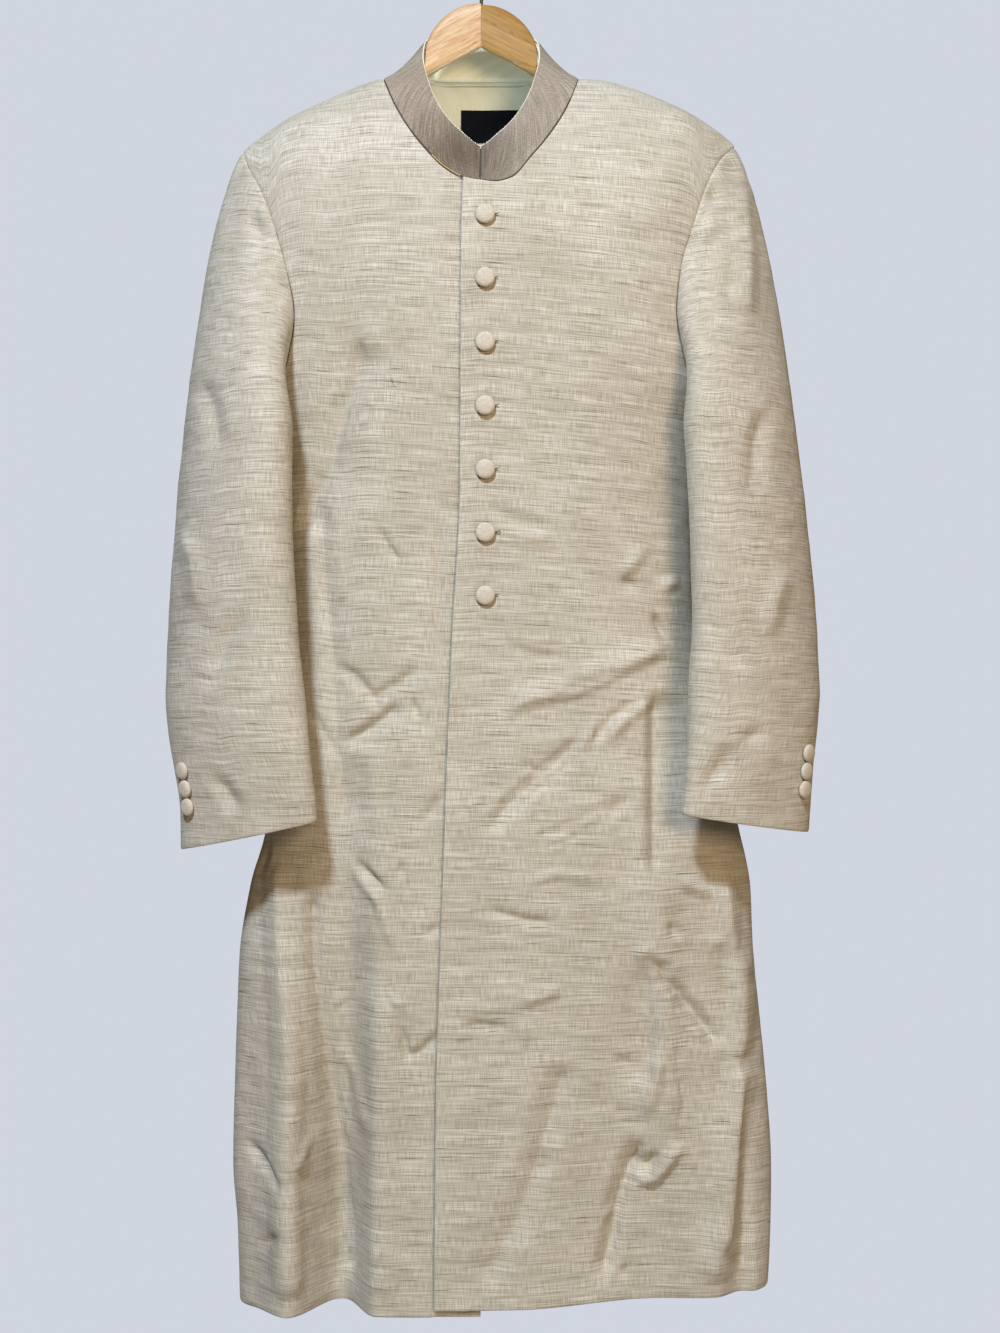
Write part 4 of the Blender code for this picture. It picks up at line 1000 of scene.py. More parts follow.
def edgeRoll(points, edges):
    # how far each point turns in beside the named edges
    total = np.zeros(points.shape[:2])
    for edge in edges:
        total += np.clip(1.0 - runFrom(points, edge) / coat["edgeRollWidth"], 0.0, 1.0) ** 2
    return coat["edgeRoll"] * np.minimum(total, coat["cornerRoll"])


def fromSeams(points, edges):
    # rises from 0 on the named edges to 1
    total = np.ones(points.shape[:2])
    for edge in edges:
        total *= smooth(runFrom(points, edge) / coat["seamHold"])
    return total


def normalsOf(points, towards):
    normal = np.cross(np.gradient(points, axis=1), np.gradient(points, axis=0))
    normal /= np.maximum(np.linalg.norm(normal, axis=-1, keepdims=True), 1e-12)
    return normal if np.sum(normal * towards) > 0.0 else -normal


def lifted(points, towards, lift, edges):
    # the cloth raised off its form, and turned in at the named edges
    lift = lift - edgeRoll(points, edges)
    return points + normalsOf(points, towards) * lift[..., None]


def gridOf(points):
    rows, columns = points.shape[:2]
    bm = bmesh.new()
    bmesh.ops.create_grid(bm, x_segments=columns - 1, y_segments=rows - 1, size=1.0)
    for vert, point in zip(bm.verts, points.reshape(-1, 3)):
        vert.co = point
    return bm


def placePiece(name, bm, look, smoothAngle=None):
    mesh = bpy.data.meshes.new(name)
    bm.to_mesh(mesh)
    bm.free()
    mesh.shade_smooth()
    if smoothAngle:
        mesh.set_sharp_from_angle(angle=math.radians(smoothAngle))
    mesh.materials.append(looks[look])
    made = bpy.data.objects.new(name, mesh)
    bpy.context.scene.collection.objects.link(made)
    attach(made, "root")
    return made


def setWeave(mesh, uv):
    # uv has one row for each vertex, in metres along the cloth
    corners = np.empty(len(mesh.loops), dtype=np.int32)
    mesh.loops.foreach_get("vertex_index", corners)
    layer = mesh.uv_layers.new(name="weave")
    layer.data.foreach_set("uv", uv[corners].astype(np.float32).ravel())


surfaceGrid = {"x": (-0.33, 0.33, 331), "drop": (0.10, 1.31, 243)}


def weaveOf(face, points):
    # weft and warp places: lengths over the surface, level and plumb
    xs, drops = np.linspace(*surfaceGrid["x"]), np.linspace(*surfaceGrid["drop"])
    drop, x = np.meshgrid(drops, xs, indexing="ij")
    y = surfaceDepth(face, x, drop)
    across = np.hypot(xs[1] - xs[0], np.diff(y, axis=1))
    across = np.pad(np.cumsum(across, axis=1), ((0, 0), (1, 0)))
    across -= across[:, len(xs) // 2][:, None]
    down = np.hypot(drops[1] - drops[0], np.diff(y, axis=0))
    down = np.pad(np.cumsum(down[::-1], axis=0)[::-1], ((0, 1), (0, 0)))
    i = np.clip((-points[..., 2] - drops[0]) / (drops[1] - drops[0]), 0.0, len(drops) - 1.001)
    j = np.clip((points[..., 0] - xs[0]) / (xs[1] - xs[0]), 0.0, len(xs) - 1.001)
    i0, j0 = i.astype(int), j.astype(int)
    i, j = i - i0, j - j0
    made = []
    for grid in (across, down):
        upper = mix(grid[i0, j0], grid[i0, j0 + 1], j)
        lower = mix(grid[i0 + 1, j0], grid[i0 + 1, j0 + 1], j)
        made.append(mix(upper, lower, i))
    return np.stack(made, axis=-1).reshape(-1, 2)


def clothPiece(name, points, wall, look, node, weave=None, weaveFrom=0.0):
    made = placePiece(name, gridOf(points + (0.0, -hangerDepth, 0.0)), look)
    if weave is None:
        run = runLengths(points, 0)
        down = points[-1:, :, 2] + run[-1:] - run
        across = runLengths(points, 1) + weaveFrom
        weave = np.stack((across, down), axis=-1).reshape(-1, 2)
    setWeave(made.data, weave)
    shell = made.modifiers.new("wall", "SOLIDIFY")
    shell.thickness = wall
    shell.offset = 0.0
    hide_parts(node)
    return made


def wrappedPiece(name, points, look, node=None, smoothAngle=None):
    # a closed form from rings of points; the first and last column are the same
    bm = gridOf(points)
    bmesh.ops.remove_doubles(bm, verts=bm.verts, dist=1e-6)
    openEdges = [edge for edge in bm.edges if edge.is_boundary]
    bmesh.ops.holes_fill(bm, edges=openEdges, sides=points.shape[1])
    bmesh.ops.triangulate(bm, faces=[face for face in bm.faces if len(face.verts) > 4])
    bmesh.ops.recalc_face_normals(bm, faces=bm.faces)
    made = placePiece(name, bm, look, smoothAngle)
    if node:
        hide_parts(node)
    return made


def tubePiece(name, path, radius, count, reference, look, node=None):
    # a round tube along a path; its radius may differ from point to point
    path = np.asarray(path, dtype=float)
    along = unit(np.gradient(path, axis=0))
    side = unit(np.cross(along, reference))
    other = np.cross(along, side)
    angle = np.linspace(0.0, 2.0 * np.pi, count + 1)
    radius = np.broadcast_to(radius, len(path))[:, None, None]
    ring = side[:, None] * np.cos(angle)[None, :, None]
    ring = ring + other[:, None] * np.sin(angle)[None, :, None]
    return wrappedPiece(name, path[:, None] + radius * ring, look, node)


button = {
    "x": 0.0045,
    "first": 0.280,
    "pitch": 0.0575,
    "count": 7,
    "radius": 0.0090,
    "height": 0.0052,
    "profile": (
        (0.02, 0.00), (0.50, 0.00), (0.78, 0.06), (0.93, 0.20), (0.995, 0.38),
        (0.99, 0.52), (0.95, 0.66), (0.86, 0.80), (0.70, 0.91), (0.48, 0.975),
        (0.24, 0.998), (0.02, 1.00),
    ),
    "steps": 44,
    "dimple": 0.0013,
    "dimpleReach": 0.0095,
    "dimpleRing": (1.5, 0.4, 0.5),      # where, how wide and how high the cloth swells
    "tucks": (17.0, 0.0006, 0.8),       # number, height, and where on the rim they start
    "capSides": 60,
}
groove = {
    # the underlap dips beside the overlap's edge, and the edge itself stands a little off
    "depth": 0.0022,
    "reach": 0.0050,
    "edgeLift": 0.0006,
    "edgeReach": 0.010,
}
fronts = {
    # flat width and length of each panel's cut, and its flat area
    "left": {"flat": (0.355, 1.125), "area": 0.335},
    "right": {"flat": (0.330, 1.135), "area": 0.310},
    "weft": (0.07, 0.45, 0.25),     # how far the weft falls off level, and where
    "weftShift": 0.4,
    "measuredAt": (0.62, 0.62),
    "crumple": 2.0,         # place in the noise
}


def frontGrid(side):
    v, u = gridShares(
        partial(frontPoint, side), coat["step"], fronts["measuredAt"], coat["neckSeam"],
    )
    points = frontPoint(side, u, closeShoulder("front", side, u, v))
    x, drop = points[..., 0], -points[..., 2]
    lift = creaseHeight(frontCreases, x, drop) + crumpleHeight(x, drop, fronts["crumple"])
    lift *= fromSeams(points, ("top", "end"))
    edge = x - curve(edgeTable, "drop", "overlap", drop)
    if side == "right":
        lift -= groove["depth"] * np.clip(1.0 + edge / groove["reach"], 0.0, 1.0) ** 1.5
    else:
        lift += groove["edgeLift"] * np.exp(-(edge / groove["edgeReach"]) ** 2)
        lift -= buttonDimples(x, drop)
    return lifted(points, (0.0, -1.0, 0.0), lift, ("top", "low", "end"))


def buttonDimples(x, drop):
    # each button draws the cloth in under it
    total = np.zeros(x.shape)
    where, wide, high = button["dimpleRing"]
    for k in range(button["count"]):
        away = np.hypot(x - button["x"], drop - button["first"] - button["pitch"] * k)
        total += button["dimple"] * np.exp(-(away / button["dimpleReach"]) ** 4)
        ring = (away - where * button["dimpleReach"]) / (wide * button["dimpleReach"])
        total -= high * button["dimple"] * np.exp(-ring ** 2)
    return total


for side in sides:
    points = frontGrid(side)
    weave = weaveOf("front", points) + (fronts["weftShift"] * sides[side], 0.0)
    fall, where, spread = fronts["weft"]
    near = np.exp(-((points[..., 2] + where) / spread) ** 2)
    weave[:, 1] += (fall * sides[side] * np.abs(points[..., 0]) * near).ravel()
    made = clothPiece(
        "front" + side.capitalize(), points, coat["wall"], "coat",
        "front_" + side, weave=weave,
    )
print("fronts made")

back = {
    "flat": (0.66, 1.175),
    "area": 0.66,
    "creased": 0.6,
    "crumple": 5.0,
    "measuredAt": (0.55, 0.62),
    "weaveShift": 2.0,
}


def backHalf(side):
    v, u = gridShares(
        partial(panelPoint, "back", side), coat["wideStep"], back["measuredAt"],
        coat["neckSeam"],
    )
    return panelPoint("back", side, u, closeShoulder("back", side, u, v))


def backLift(x, drop):
    creases = back["creased"] * creaseHeight(backCreases, x, drop)
    return creases + crumpleHeight(x, drop, back["crumple"])


def makeBack():
    right, left = backHalf("right"), backHalf("left")
    rows = min(len(right), len(left))
    points = np.concatenate((right[:rows, ::-1], left[:rows, 1:]), axis=1)
    points[:, right.shape[1] - 1] = 0.5 * (right[:rows, 0] + left[:rows, 0])
    lift = backLift(points[..., 0], -points[..., 2])
    lift *= fromSeams(points, ("top", "start", "end"))
    points = lifted(points, (0.0, 1.0, 0.0), lift, ("top", "low", "start", "end"))
    made = clothPiece(
        "backPanel", points, coat["wall"], "coat", "back",
        weave=weaveOf("back", points) + (back["weaveShift"], 0.0),
    )


makeBack()
print("back made")


def coarseTurns(face):
    steps = np.arange(form["armholeSteps"] + 1) / form["armholeSteps"]
    share = steps ** form["shoulderCrowding"]
    return curve(armholeTable, "share", face + "_turn", share)


frontTurns, backTurns = coarseTurns("front"), coarseTurns("back")
frontSeamTurn = frontTurns[sleeve["frontSeamStep"]]
elbowSeamTurn = backTurns[sleeve["elbowSeamStep"]]


def sleeveTurns(piece, turn, v):
    # the elbow seam moves outwards down the sleeve, and the columns go with it
    elbow = mix(elbowSeamTurn, 360.0 + sleeve["elbowSeamCuff"], smooth(v))
    if piece == "top":
        return np.where(turn < 0.0, turn * (elbow - 360.0) / (elbowSeamTurn - 360.0), turn)
    stretch = (elbow - frontSeamTurn) / (elbowSeamTurn - frontSeamTurn)
    return frontSeamTurn + (turn - frontSeamTurn) * stretch


def sleeveStarts(side, turns):
    # share down each column at which it stands clear of the armhole seam
    seam = armholeSeam(side, turns)
    along = unit(armholeSeam(side, turns + 1.0)[2] - armholeSeam(side, turns - 1.0)[2])
    fade = smooth((seam[1] - sleeve["sharpFrom"]) / sleeve["sharpFrom"])
    gap = mix(sleeve["seamGap"][0], sleeve["seamGap"][1], fade)
    tries = np.linspace(0.0, 0.6, 121) * sleeve["head"]
    v, turn = np.meshgrid(tries, turns, indexing="ij")
    clear = np.linalg.norm(np.cross(sleevePoint(side, turn, v) - seam[2], along), axis=-1)
    return tries[np.argmax(clear >= gap, axis=0)]


sleeveLook = {
    "measuredAt": (60.0, 0.5),      # turn and share down the sleeve
    "facing": 1.6,
    "behind": (0.006, 0.022),       # the hidden face's creases are moved by this much
    "crumple": 7.0,
    "puckers": 0.0011,              # small waves of cloth eased into the sleeve's head
    "puckerReach": 0.034,
    "puckerRise": 0.006,
    "puckersAbove": (0.330, 0.08),
    "waves": (13.0, 1.3, 5.0),
}


def sleeveGrid(side, piece):
    look = sleeveLook
    if piece == "top":
        ends = (elbowSeamTurn - 360.0, frontSeamTurn)
        outward = (sides[side], 0.0, 0.35)
    else:
        ends = (frontSeamTurn, elbowSeamTurn)
        outward = (-sides[side], 0.35, 0.0)

    def roundArm(share):
        middle = np.full(share.shape, look["measuredAt"][1])
        turn = sleeveTurns(piece, mix(ends[0], ends[1], share), middle)
        return sleevePoint(side, turn, middle)

    turn = mix(ends[0], ends[1], evenShares(roundArm, coat["wideStep"]))
    v = evenShares(lambda v: sleevePoint(side, look["measuredAt"][0], v), coat["wideStep"])
    starts = sleeveStarts(side, turn)
    v, turn = np.meshgrid(v, turn, indexing="ij")
    run = mix(starts[None, :], sleeve["head"], v / sleeve["head"])
    turned = sleeveTurns(piece, turn, v)
    points = sleevePoint(side, turned, np.where(v < sleeve["head"], run, v))
    x, drop = points[..., 0], -points[..., 2]
    angle = np.radians(turned)
    facing = smooth(0.5 + look["facing"] * np.sin(angle))
    lift = creaseHeight(sleeveCreases, x, drop) * facing
    moved = (x + sides[side] * look["behind"][0], drop + look["behind"][1])
    lift += creaseHeight(sleeveCreases, *moved) * (1.0 - facing)
    lift += crumpleHeight(x, drop, look["crumple"] + sides[side])
    lift *= fromSeams(points, ("top",))
    down = runLengths(points, 0)
    near = np.clip(1.0 - down / look["puckerReach"], 0.0, 1.0)
    near *= smooth(down / look["puckerRise"])
    near *= smooth((look["puckersAbove"][0] - drop) / look["puckersAbove"][1])
    many, bent, few = look["waves"]
    ripple = np.sin(many * angle + bent * np.sin(few * angle))
    lift += look["puckers"] * ripple * near
    return lifted(points, outward, lift, ("top", "low", "start", "end"))


for side in sides:
    for piece in ("top", "under"):
        made = clothPiece(
            "sleeve" + side.capitalize() + piece.capitalize(), sleeveGrid(side, piece),
            coat["wall"], "coat", "sleeve_" + side + "_" + piece,
            weaveFrom=0.1 * sides[side],
        )
print("sleeves made")

# The stand collar, slit at the centre front.
collar = {
    "wall": 0.0018,
    "lining": 0.0012,
    "liningGap": 0.0007,
    "step": 0.0024,
    "endGap": 0.0006,
    "facingGap": 0.0030,
    "heights": ([0.03, 0.045, 0.07], (0.10, 0.94, 22), [0.97, 1.0]),
    "crumple": (12.0, 0.7),     # place in the noise, and share of the coat's
    "roll": 0.8,
    "splitHeights": (0.04, 0.94, 60),
    "splitRadius": 0.0009,
    "splitBack": 0.0012,
    "edgeRadius": 0.0008,
    "edgeInward": 0.15,
    "edgeUp": 0.6,
    # lines of thread on the neck seam, dark as painted shadow: side, look, radius, stations,
    # how far they stand out
    "threads": {
        "neckSeamShadowRight": ("right", "seam", 0.0006, (0.0, 0.56), 0.0006),
        "neckSeamShadowLeft": ("left", "seam", 0.0006, (0.16, 0.56), 0.0006),
    },
    "binding": ("right", "binding", 0.00045, (0.10, 0.24), 0.0014),
    "threadPlace": (0.004, 0.10, 0.0004),       # how far in they start, splay and rise
    "threadSteps": 90,
    "fanHeight": 0.032,     # the lines of the cloth spread from this far under the neck seam
    "fanReach": 0.050,
    "fanWide": 1.6,
    "upStretch": 1.15,
    "frontShare": (0.30, 0.75),
    # the left end's lower edge lies over the front in a soft lip: how far it stands
    # out, where, how wide, the share of the collar's height, and its waves
    "lip": (0.0040, 0.0300, 0.0240, 0.35, 0.017),
    "lipDown": 0.6,
    "facingDip": 0.0040,
    "facingDipEnds": (0.062, 0.03),
    # a dark thread on the facing's seam, standing for its shadow line: painted shadow
    "facingSeamShadow": (0.058, 0.0006, 0.0005),      # reach, how far forward, radius
    "flat": (0.52, 0.062),
    "area": 0.021,
}


def collarGrid(heights, shift, endGap=collar["endGap"]):
    halves = []
    for side in ("right", "left"):
        stations = evenShares(
            lambda share: collarPoint(side, share, np.full(share.shape, 0.5)),
            collar["step"], endGap,
        )
        height, station = np.meshgrid(heights, stations, indexing="ij")
        ahead = collarPoint(side, np.minimum(station + 0.01, 1.0), height)
        behind = collarPoint(side, np.maximum(station - 0.01, 0.0), height)
        up = collarPoint(side, station, np.ones(height.shape))
        up = up - collarPoint(side, station, np.zeros(height.shape))
        inward = unit(np.cross(up, ahead - behind) * sides[side])
        inward[station == 1.0] = (0.0, -1.0, 0.0)
        halves.append(collarPoint(side, station, height) + inward * shift)
    return np.concatenate((halves[0], halves[1][:, -2::-1]), axis=1)


def collarWeave(points):
    # the lines of the cloth hang plumb at the sides and spread out from the front split
    level = np.linalg.norm(np.diff(points[..., :2], axis=1), axis=-1)
    run = np.pad(np.cumsum(level, axis=1), ((0, 0), (1, 0)))
    middle = points.shape[1] // 2
    toBack = run[:, middle:middle + 1]
    fromBack = run - toBack
    half = np.where(fromBack < 0.0, toBack, run[:, -1:] - toBack)
    fromFront = half - np.abs(fromBack)
    height = np.maximum(points[..., 2] - points[0, 0, 2], 0.0)
    fan = collar["fanHeight"]
    spread = fromFront * collar["fanWide"] * fan / (height + fan)
    fromFront = mix(spread, fromFront, smooth(fromFront / collar["fanReach"]))
    low, high = collar["frontShare"]
    onFront = smooth((np.abs(fromBack) / half - low) / (high - low))
    across = np.sign(fromBack) * mix(np.abs(fromBack), half.mean() - fromFront, onFront)
    return np.stack((collar["upStretch"] * points[..., 2], across), axis=-1).reshape(-1, 2)


def makeBand(heights):
    points = collarGrid(heights, 0.0)
    outward = points - points.mean(axis=(0, 1))
    outward[..., 2] = 0.0
    seed, share = collar["crumple"]
    lift = crumpleHeight(points[..., 0], -points[..., 2], seed) * share
    lift -= edgeRoll(points, ("top", "start", "end")) * collar["roll"]
    out, where, width, upTo, wave = collar["lip"]
    near = np.exp(-((points[..., 0] - where) / width) ** 2)
    near *= (points[..., 0] > 0.0) * (points[..., 1] < 0.0)
    low = np.clip(1.0 - (heights / upTo), 0.0, 1.0)[:, None] ** 1.3
    waves = 0.65 + 0.35 * np.cos((points[..., 0] - where) * 2.0 * np.pi / wave)
    lip = out * near * low * waves
    placed = points + normalsOf(points, outward) * (lift + lip)[..., None]
    placed[..., 2] -= collar["lipDown"] * lip
    return clothPiece(
        "collarBand", placed, collar["wall"], "shadedBand", "collar",
        weave=collarWeave(points),
    )


def facingDip(x):
    end, fade = collar["facingDipEnds"]
    return collar["facingDip"] * smooth((end - np.abs(x)) / fade)


def makeFacing(heights, shift):
    points = collarGrid(heights, shift, collar["facingGap"])
    points[0, :, 2] -= facingDip(points[0, :, 0]) * (points[0, :, 1] > 0.02)
    return clothPiece(
        "collarFacing", points, collar["lining"], "lining", "collar_lining",
    )


def makeFacingSeamShadow(shift):
    reach, forward, radius = collar["facingSeamShadow"]
    x = np.linspace(-reach, reach, 80)
    drop = neckline("back", x, "drop") + facingDip(x)
    y = surfaceDepth("back", x, drop) - shift - forward - hangerDepth
    tubePiece("facingSeamShadow", np.stack((x, y, -drop), axis=-1), radius, 8, (0.0, 1.0, 0.3),
              "liningSeamShadow")


def makeCollarEdge(shift):
    edge = collarGrid(np.array((0.5, 1.0)), collar["edgeInward"] * shift)[1]
    edge = edge + (0.0, -hangerDepth, collar["edgeUp"] * collar["edgeRadius"])
    made = tubePiece("collarEdge", edge, collar["edgeRadius"], 10, (0.0, 0.0, 1.0),
                     "edge")
    places = np.array([vert.co for vert in made.data.vertices])
    setWeave(made.data, places[:, ::2])
    return made


def makeNeckThread(name, side, look, radius, stations, out):
    clear, splay, up = collar["threadPlace"]
    station = np.linspace(stations[0] + clear, stations[1], collar["threadSteps"])
    seam = collarPoint(side, station, np.zeros(station.shape))
    seam = seam + (splay * sides[side] * out, -out - hangerDepth, up)
    tubePiece(name, seam, radius, 8, (0.0, 1.0, 0.3), look)


def makeSplitShadow():
    # a dark thread in the front slit, standing for the slit's shadow: painted shadow
    height = np.linspace(*collar["splitHeights"])
    split = collarPoint("left", np.zeros(height.shape), height)
    split[:, 0] = 0.0
    split[:, 1] += collar["splitBack"] - hangerDepth
    tubePiece("collarSplitShadow", split, collar["splitRadius"], 8, (1.0, 0.0, 0.0), "seam")


def makeCollar():
    first, (low, high, count), last = collar["heights"]
    heights = np.concatenate((first, np.linspace(low, high, count), last))
    bandPiece = makeBand(heights)
    shift = 0.5 * (collar["wall"] + collar["lining"]) + collar["liningGap"]
    facing = makeFacing(heights[1:], shift)
    turnedEdge = makeCollarEdge(shift)
    for name, line in collar["threads"].items():
        makeNeckThread(name, *line)
    makeSplitShadow()
    makeNeckThread("neckBinding", *collar["binding"])
    makeFacingSeamShadow(shift)


makeCollar()
print("collar made")

# What shows inside the neck: the lining of the back, a label and a size tab.
inside = {
    "wall": 0.0012,
    "gap": 0.0010,
    "reach": 0.0915,
    "drop": 0.300,
    "neck": -0.0010,
    "steps": 76,
    "flat": (0.185, 0.190),
    "area": 0.032,
}
insideCreases = (
    (10, 12, 2.4, -62, 178, -48, 215, -52, 262),
    (9, 10, -2.0, -34, 186, -22, 220, -26, 280),
    (10, 10, 2.2, 34, 182, 46, 224, 42, 282),
    (9, 9, -1.8, 58, 176, 66, 210, 60, 256),
    (9, 9, 1.8, -12, 196, 4, 232, 8, 286),
)
labels = {
    # node, and left, right, top and low edges
    "neckLabel": ("neck_label", -0.0205, 0.0365, 0.1405, 0.1712),
    "sizeTab": ("size_tab", 0.002, 0.024, 0.1720, 0.1912),
}
labelLook = {"wall": 0.0008, "gap": 0.0016, "bow": 0.0012, "grid": (30, 46)}


def insidePoint(x, drop, shift):
    y = surfaceDepth("back", x, drop) - shift + np.minimum(backLift(x, drop), 0.0)
    lift = creaseHeight(insideCreases, x, drop)
    return np.stack((x, y - np.maximum(lift, 0.0), -drop), axis=-1)


def makeInside():
    even = np.linspace(0.0, 1.0, inside["steps"])
    v, u = np.meshgrid(even, even, indexing="ij")
    x = mix(-inside["reach"], inside["reach"], u)
    drop = mix(neckline("back", x, "drop") + inside["neck"], inside["drop"], v)
    shift = 0.5 * (coat["wall"] + inside["wall"]) + inside["gap"]
    lining = clothPiece(
        "backLining", insidePoint(x, drop, shift), inside["wall"], "lining",
        "back_lining",
    )
    for name, (node, left, right, high, low) in labels.items():
        v, u = (np.linspace(0, 1, count) for count in labelLook["grid"])
        v, u = np.meshgrid(v, u, indexing="ij")
        points = insidePoint(mix(left, right, u), mix(high, low, v), shift + labelLook["gap"])
        bow = labelLook["bow"] * smooth(v) * (1.0 + np.cos(2.0 * np.pi * u)) * 0.5
        points[..., 1] -= bow
        piece = clothPiece(name, points, labelLook["wall"], "label", node)


makeInside()
print("inside made")

cuffButton = {
    "radius": 0.0082,
    "height": 0.0055,
    "pitch": 0.0168,
    "count": 3,
    "turn": 36.0,
    "up": 0.040,
    "seat": 0.0014,         # its foot stands this far off the middle of the cloth
}
buttonhole = {
    "start": 0.0070,
    "end": 0.0138,
    "eyeRadius": 0.0015,
    "eyeTurn": 148.0,
    "legs": 0.0008,
    "thread": 0.00055,
    "stitch": 0.0009,
    "bead": (0.72, 0.28),   # thickness between two stitches, and what each adds
    "sunk": 0.3,
    "stations": 200,
}


def coveredButton(name, node, radius, height, place, facing):
    bm = bmesh.new()
    verts = [bm.verts.new((radius * r, 0.0, height * h)) for r, h in button["profile"]]
    edges = [bm.edges.new(pair) for pair in zip(verts, verts[1:])]
    bmesh.ops.spin(
        bm, geom=verts + edges, axis=(0, 0, 1), cent=(0, 0, 0), steps=button["steps"],
        angle=2.0 * math.pi, use_merge=True, use_duplicate=False,
    )
    bmesh.ops.remove_doubles(bm, verts=bm.verts, dist=1e-6)
    rim = [edge for edge in bm.edges if edge.is_boundary]
    bmesh.ops.holes_fill(bm, edges=rim, sides=button["capSides"])
    bmesh.ops.recalc_face_normals(bm, faces=bm.faces)
    flat = []
    count, tuck, start = button["tucks"]
    for vert in bm.verts:
        # the cloth is drawn round the rim in small tucks
        around = math.atan2(vert.co.y, vert.co.x)
        out = math.hypot(vert.co.x, vert.co.y) / radius
        vert.co.z += tuck * math.sin(count * around) * max(0.0, out - start)
        flat.append((vert.co.x, vert.co.y))
    turn = Vector((0, 0, 1)).rotation_difference(Vector(facing)).to_matrix()
    bmesh.ops.rotate(bm, verts=bm.verts, matrix=turn, cent=(0, 0, 0))
    bmesh.ops.translate(bm, verts=bm.verts, vec=place)
    made = placePiece(name, bm, "covered")
    setWeave(made.data, np.array(flat) + (place[0] * 7.0, place[2] * 5.0))
    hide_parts(node)


def frontCloth(x, drop):
    # where the outside of the overlap lies at a place
    y = surfaceDepth("front", x, drop) - coat["lap"]
    return y - creaseHeight(frontCreases, x, drop) - 0.5 * coat["wall"] - hangerDepth


def makeButtonhole(number, x, drop):
    # two legs of thread that run out to a round eye, stitched over and over
    start, end = x + buttonhole["start"], x + buttonhole["end"]
    eye, legs, turn = (buttonhole[key] for key in ("eyeRadius", "legs", "eyeTurn"))
    path = [(mix(start, end - 2 * eye, t), -legs) for t in np.linspace(0, 1, 12)]
    for angle in np.radians(np.linspace(-turn, turn, 30)):
        path.append((end - eye + eye * math.cos(angle), eye * math.sin(angle)))
    path += [(mix(end - 2 * eye, start, t), legs) for t in np.linspace(0, 1, 12)]
    line, run = evenly(np.array(path), buttonhole["stations"])
    px, pz = line.T
    y = frontCloth(px, drop - pz) - buttonhole["sunk"] * buttonhole["thread"]
    thin, swell = buttonhole["bead"]
    bead = thin + swell * np.abs(np.sin(np.pi * run / buttonhole["stitch"]))
    tubePiece("buttonhole" + str(number), np.stack((px, y, pz - drop), axis=-1),
              buttonhole["thread"] * bead, 8, (0, 1, 0), "thread")


def makeButtons():
    for k in range(button["count"]):
        number = str(k + 1)
        node = "button_" + number
        x, drop = button["x"], button["first"] + button["pitch"] * k
        coveredButton(
            "frontButton" + number, node, button["radius"], button["height"],
            (x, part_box(node)[1][1], -drop), (0, -1, 0),
        )
        makeButtonhole(number, x, drop)


def makeCuffButtons(side):
    first = cuffDrops[side][1] - cuffButton["up"]
    for k in range(cuffButton["count"]):
        drop = np.array([first - cuffButton["pitch"] * k])
        turn = np.array([cuffButton["turn"]])
        place = sleeveSection(side, turn, drop)[0]
        roundBy = sleeveSection(side, turn + 8.0, drop)[0] - place
        downBy = sleeveSection(side, turn, drop + 0.01)[0] - place
        outward = unit(np.cross(roundBy, downBy))
        outward *= -1.0 if outward[1] > 0.0 else 1.0
        place = place + outward * cuffButton["seat"]
        place[1] -= hangerDepth
        coveredButton(
            "cuffButton" + side.capitalize() + str(k + 1),
            "cuff_button_" + side + "_" + str(k + 1),
            cuffButton["radius"], cuffButton["height"], tuple(place), tuple(outward),
        )


makeButtons()
for side in sides:
    makeCuffButtons(side)
print("buttons made")

hanger = {
    "columns": ("reach", "top", "under", "half_width", "depth"),
    "head": (
        (0.0002, 0.0562, 0.0992, 0.0150, 0.0120),
        (0.0120, 0.0577, 0.1055, 0.0150, 0.0120),
        (0.0240, 0.0622, 0.1118, 0.0150, 0.0120),
        (0.0360, 0.0708, 0.1184, 0.0149, 0.0120),
        (0.0440, 0.0800, 0.1230, 0.0147, 0.0120),
        (0.0495, 0.0896, 0.1262, 0.0145, 0.0120),
        (0.0522, 0.0985, 0.1280, 0.0142, 0.0119),
        (0.0530, 0.1120, 0.1295, 0.0140, 0.0118),
        (0.0560, 0.1218, 0.1325, 0.0135, 0.0115),
        (0.0740, 0.1315, 0.1430, 0.0125, 0.0100),
        (0.0860, 0.1355, 0.1495, 0.0120, 0.0090),
    ),
    "arm": (
        (0.096, 0.0110, 0.0080),
        (0.125, 0.0110, 0.0055),
        (0.155, 0.0110, 0.0025),
        (0.185, 0.0110, -0.0010),
        (0.205, 0.0105, -0.0035),
    ),
    "armHeight": 0.0190,
    "tipHeight": 0.0150,
    "reach": 0.212,
    "round": 0.0085,
    "tipShare": 0.6,
    "seat": 0.0024,
    "wall": 0.0016,
    "power": 5.0,
    "sectionSides": 120,
    "stations": 110,
    "trim": (0.0020, -0.0022),      # the sanded head's top and underside
    "trimReach": 0.060,
    # planed facets on the head: drop of the edge at the middle, its fall, and the slant
    "lowFacet": {"right": (0.0905, 0.665, 0.06), "left": (0.0995, 0.397, 0.12)},
    "highFacet": {"right": (0.0400, 0.100, 0.0), "left": (0.0744, 0.488, 0.30)},
    "facetReach": (0.0640, 0.0560),
    "scribe": (0.0013, 0.0013),     # the line cut along each facet: depth and half width
    "undercut": 0.0075,     # how far the underside rises from its front to its back
    "sharpAngle": 50.0,
}


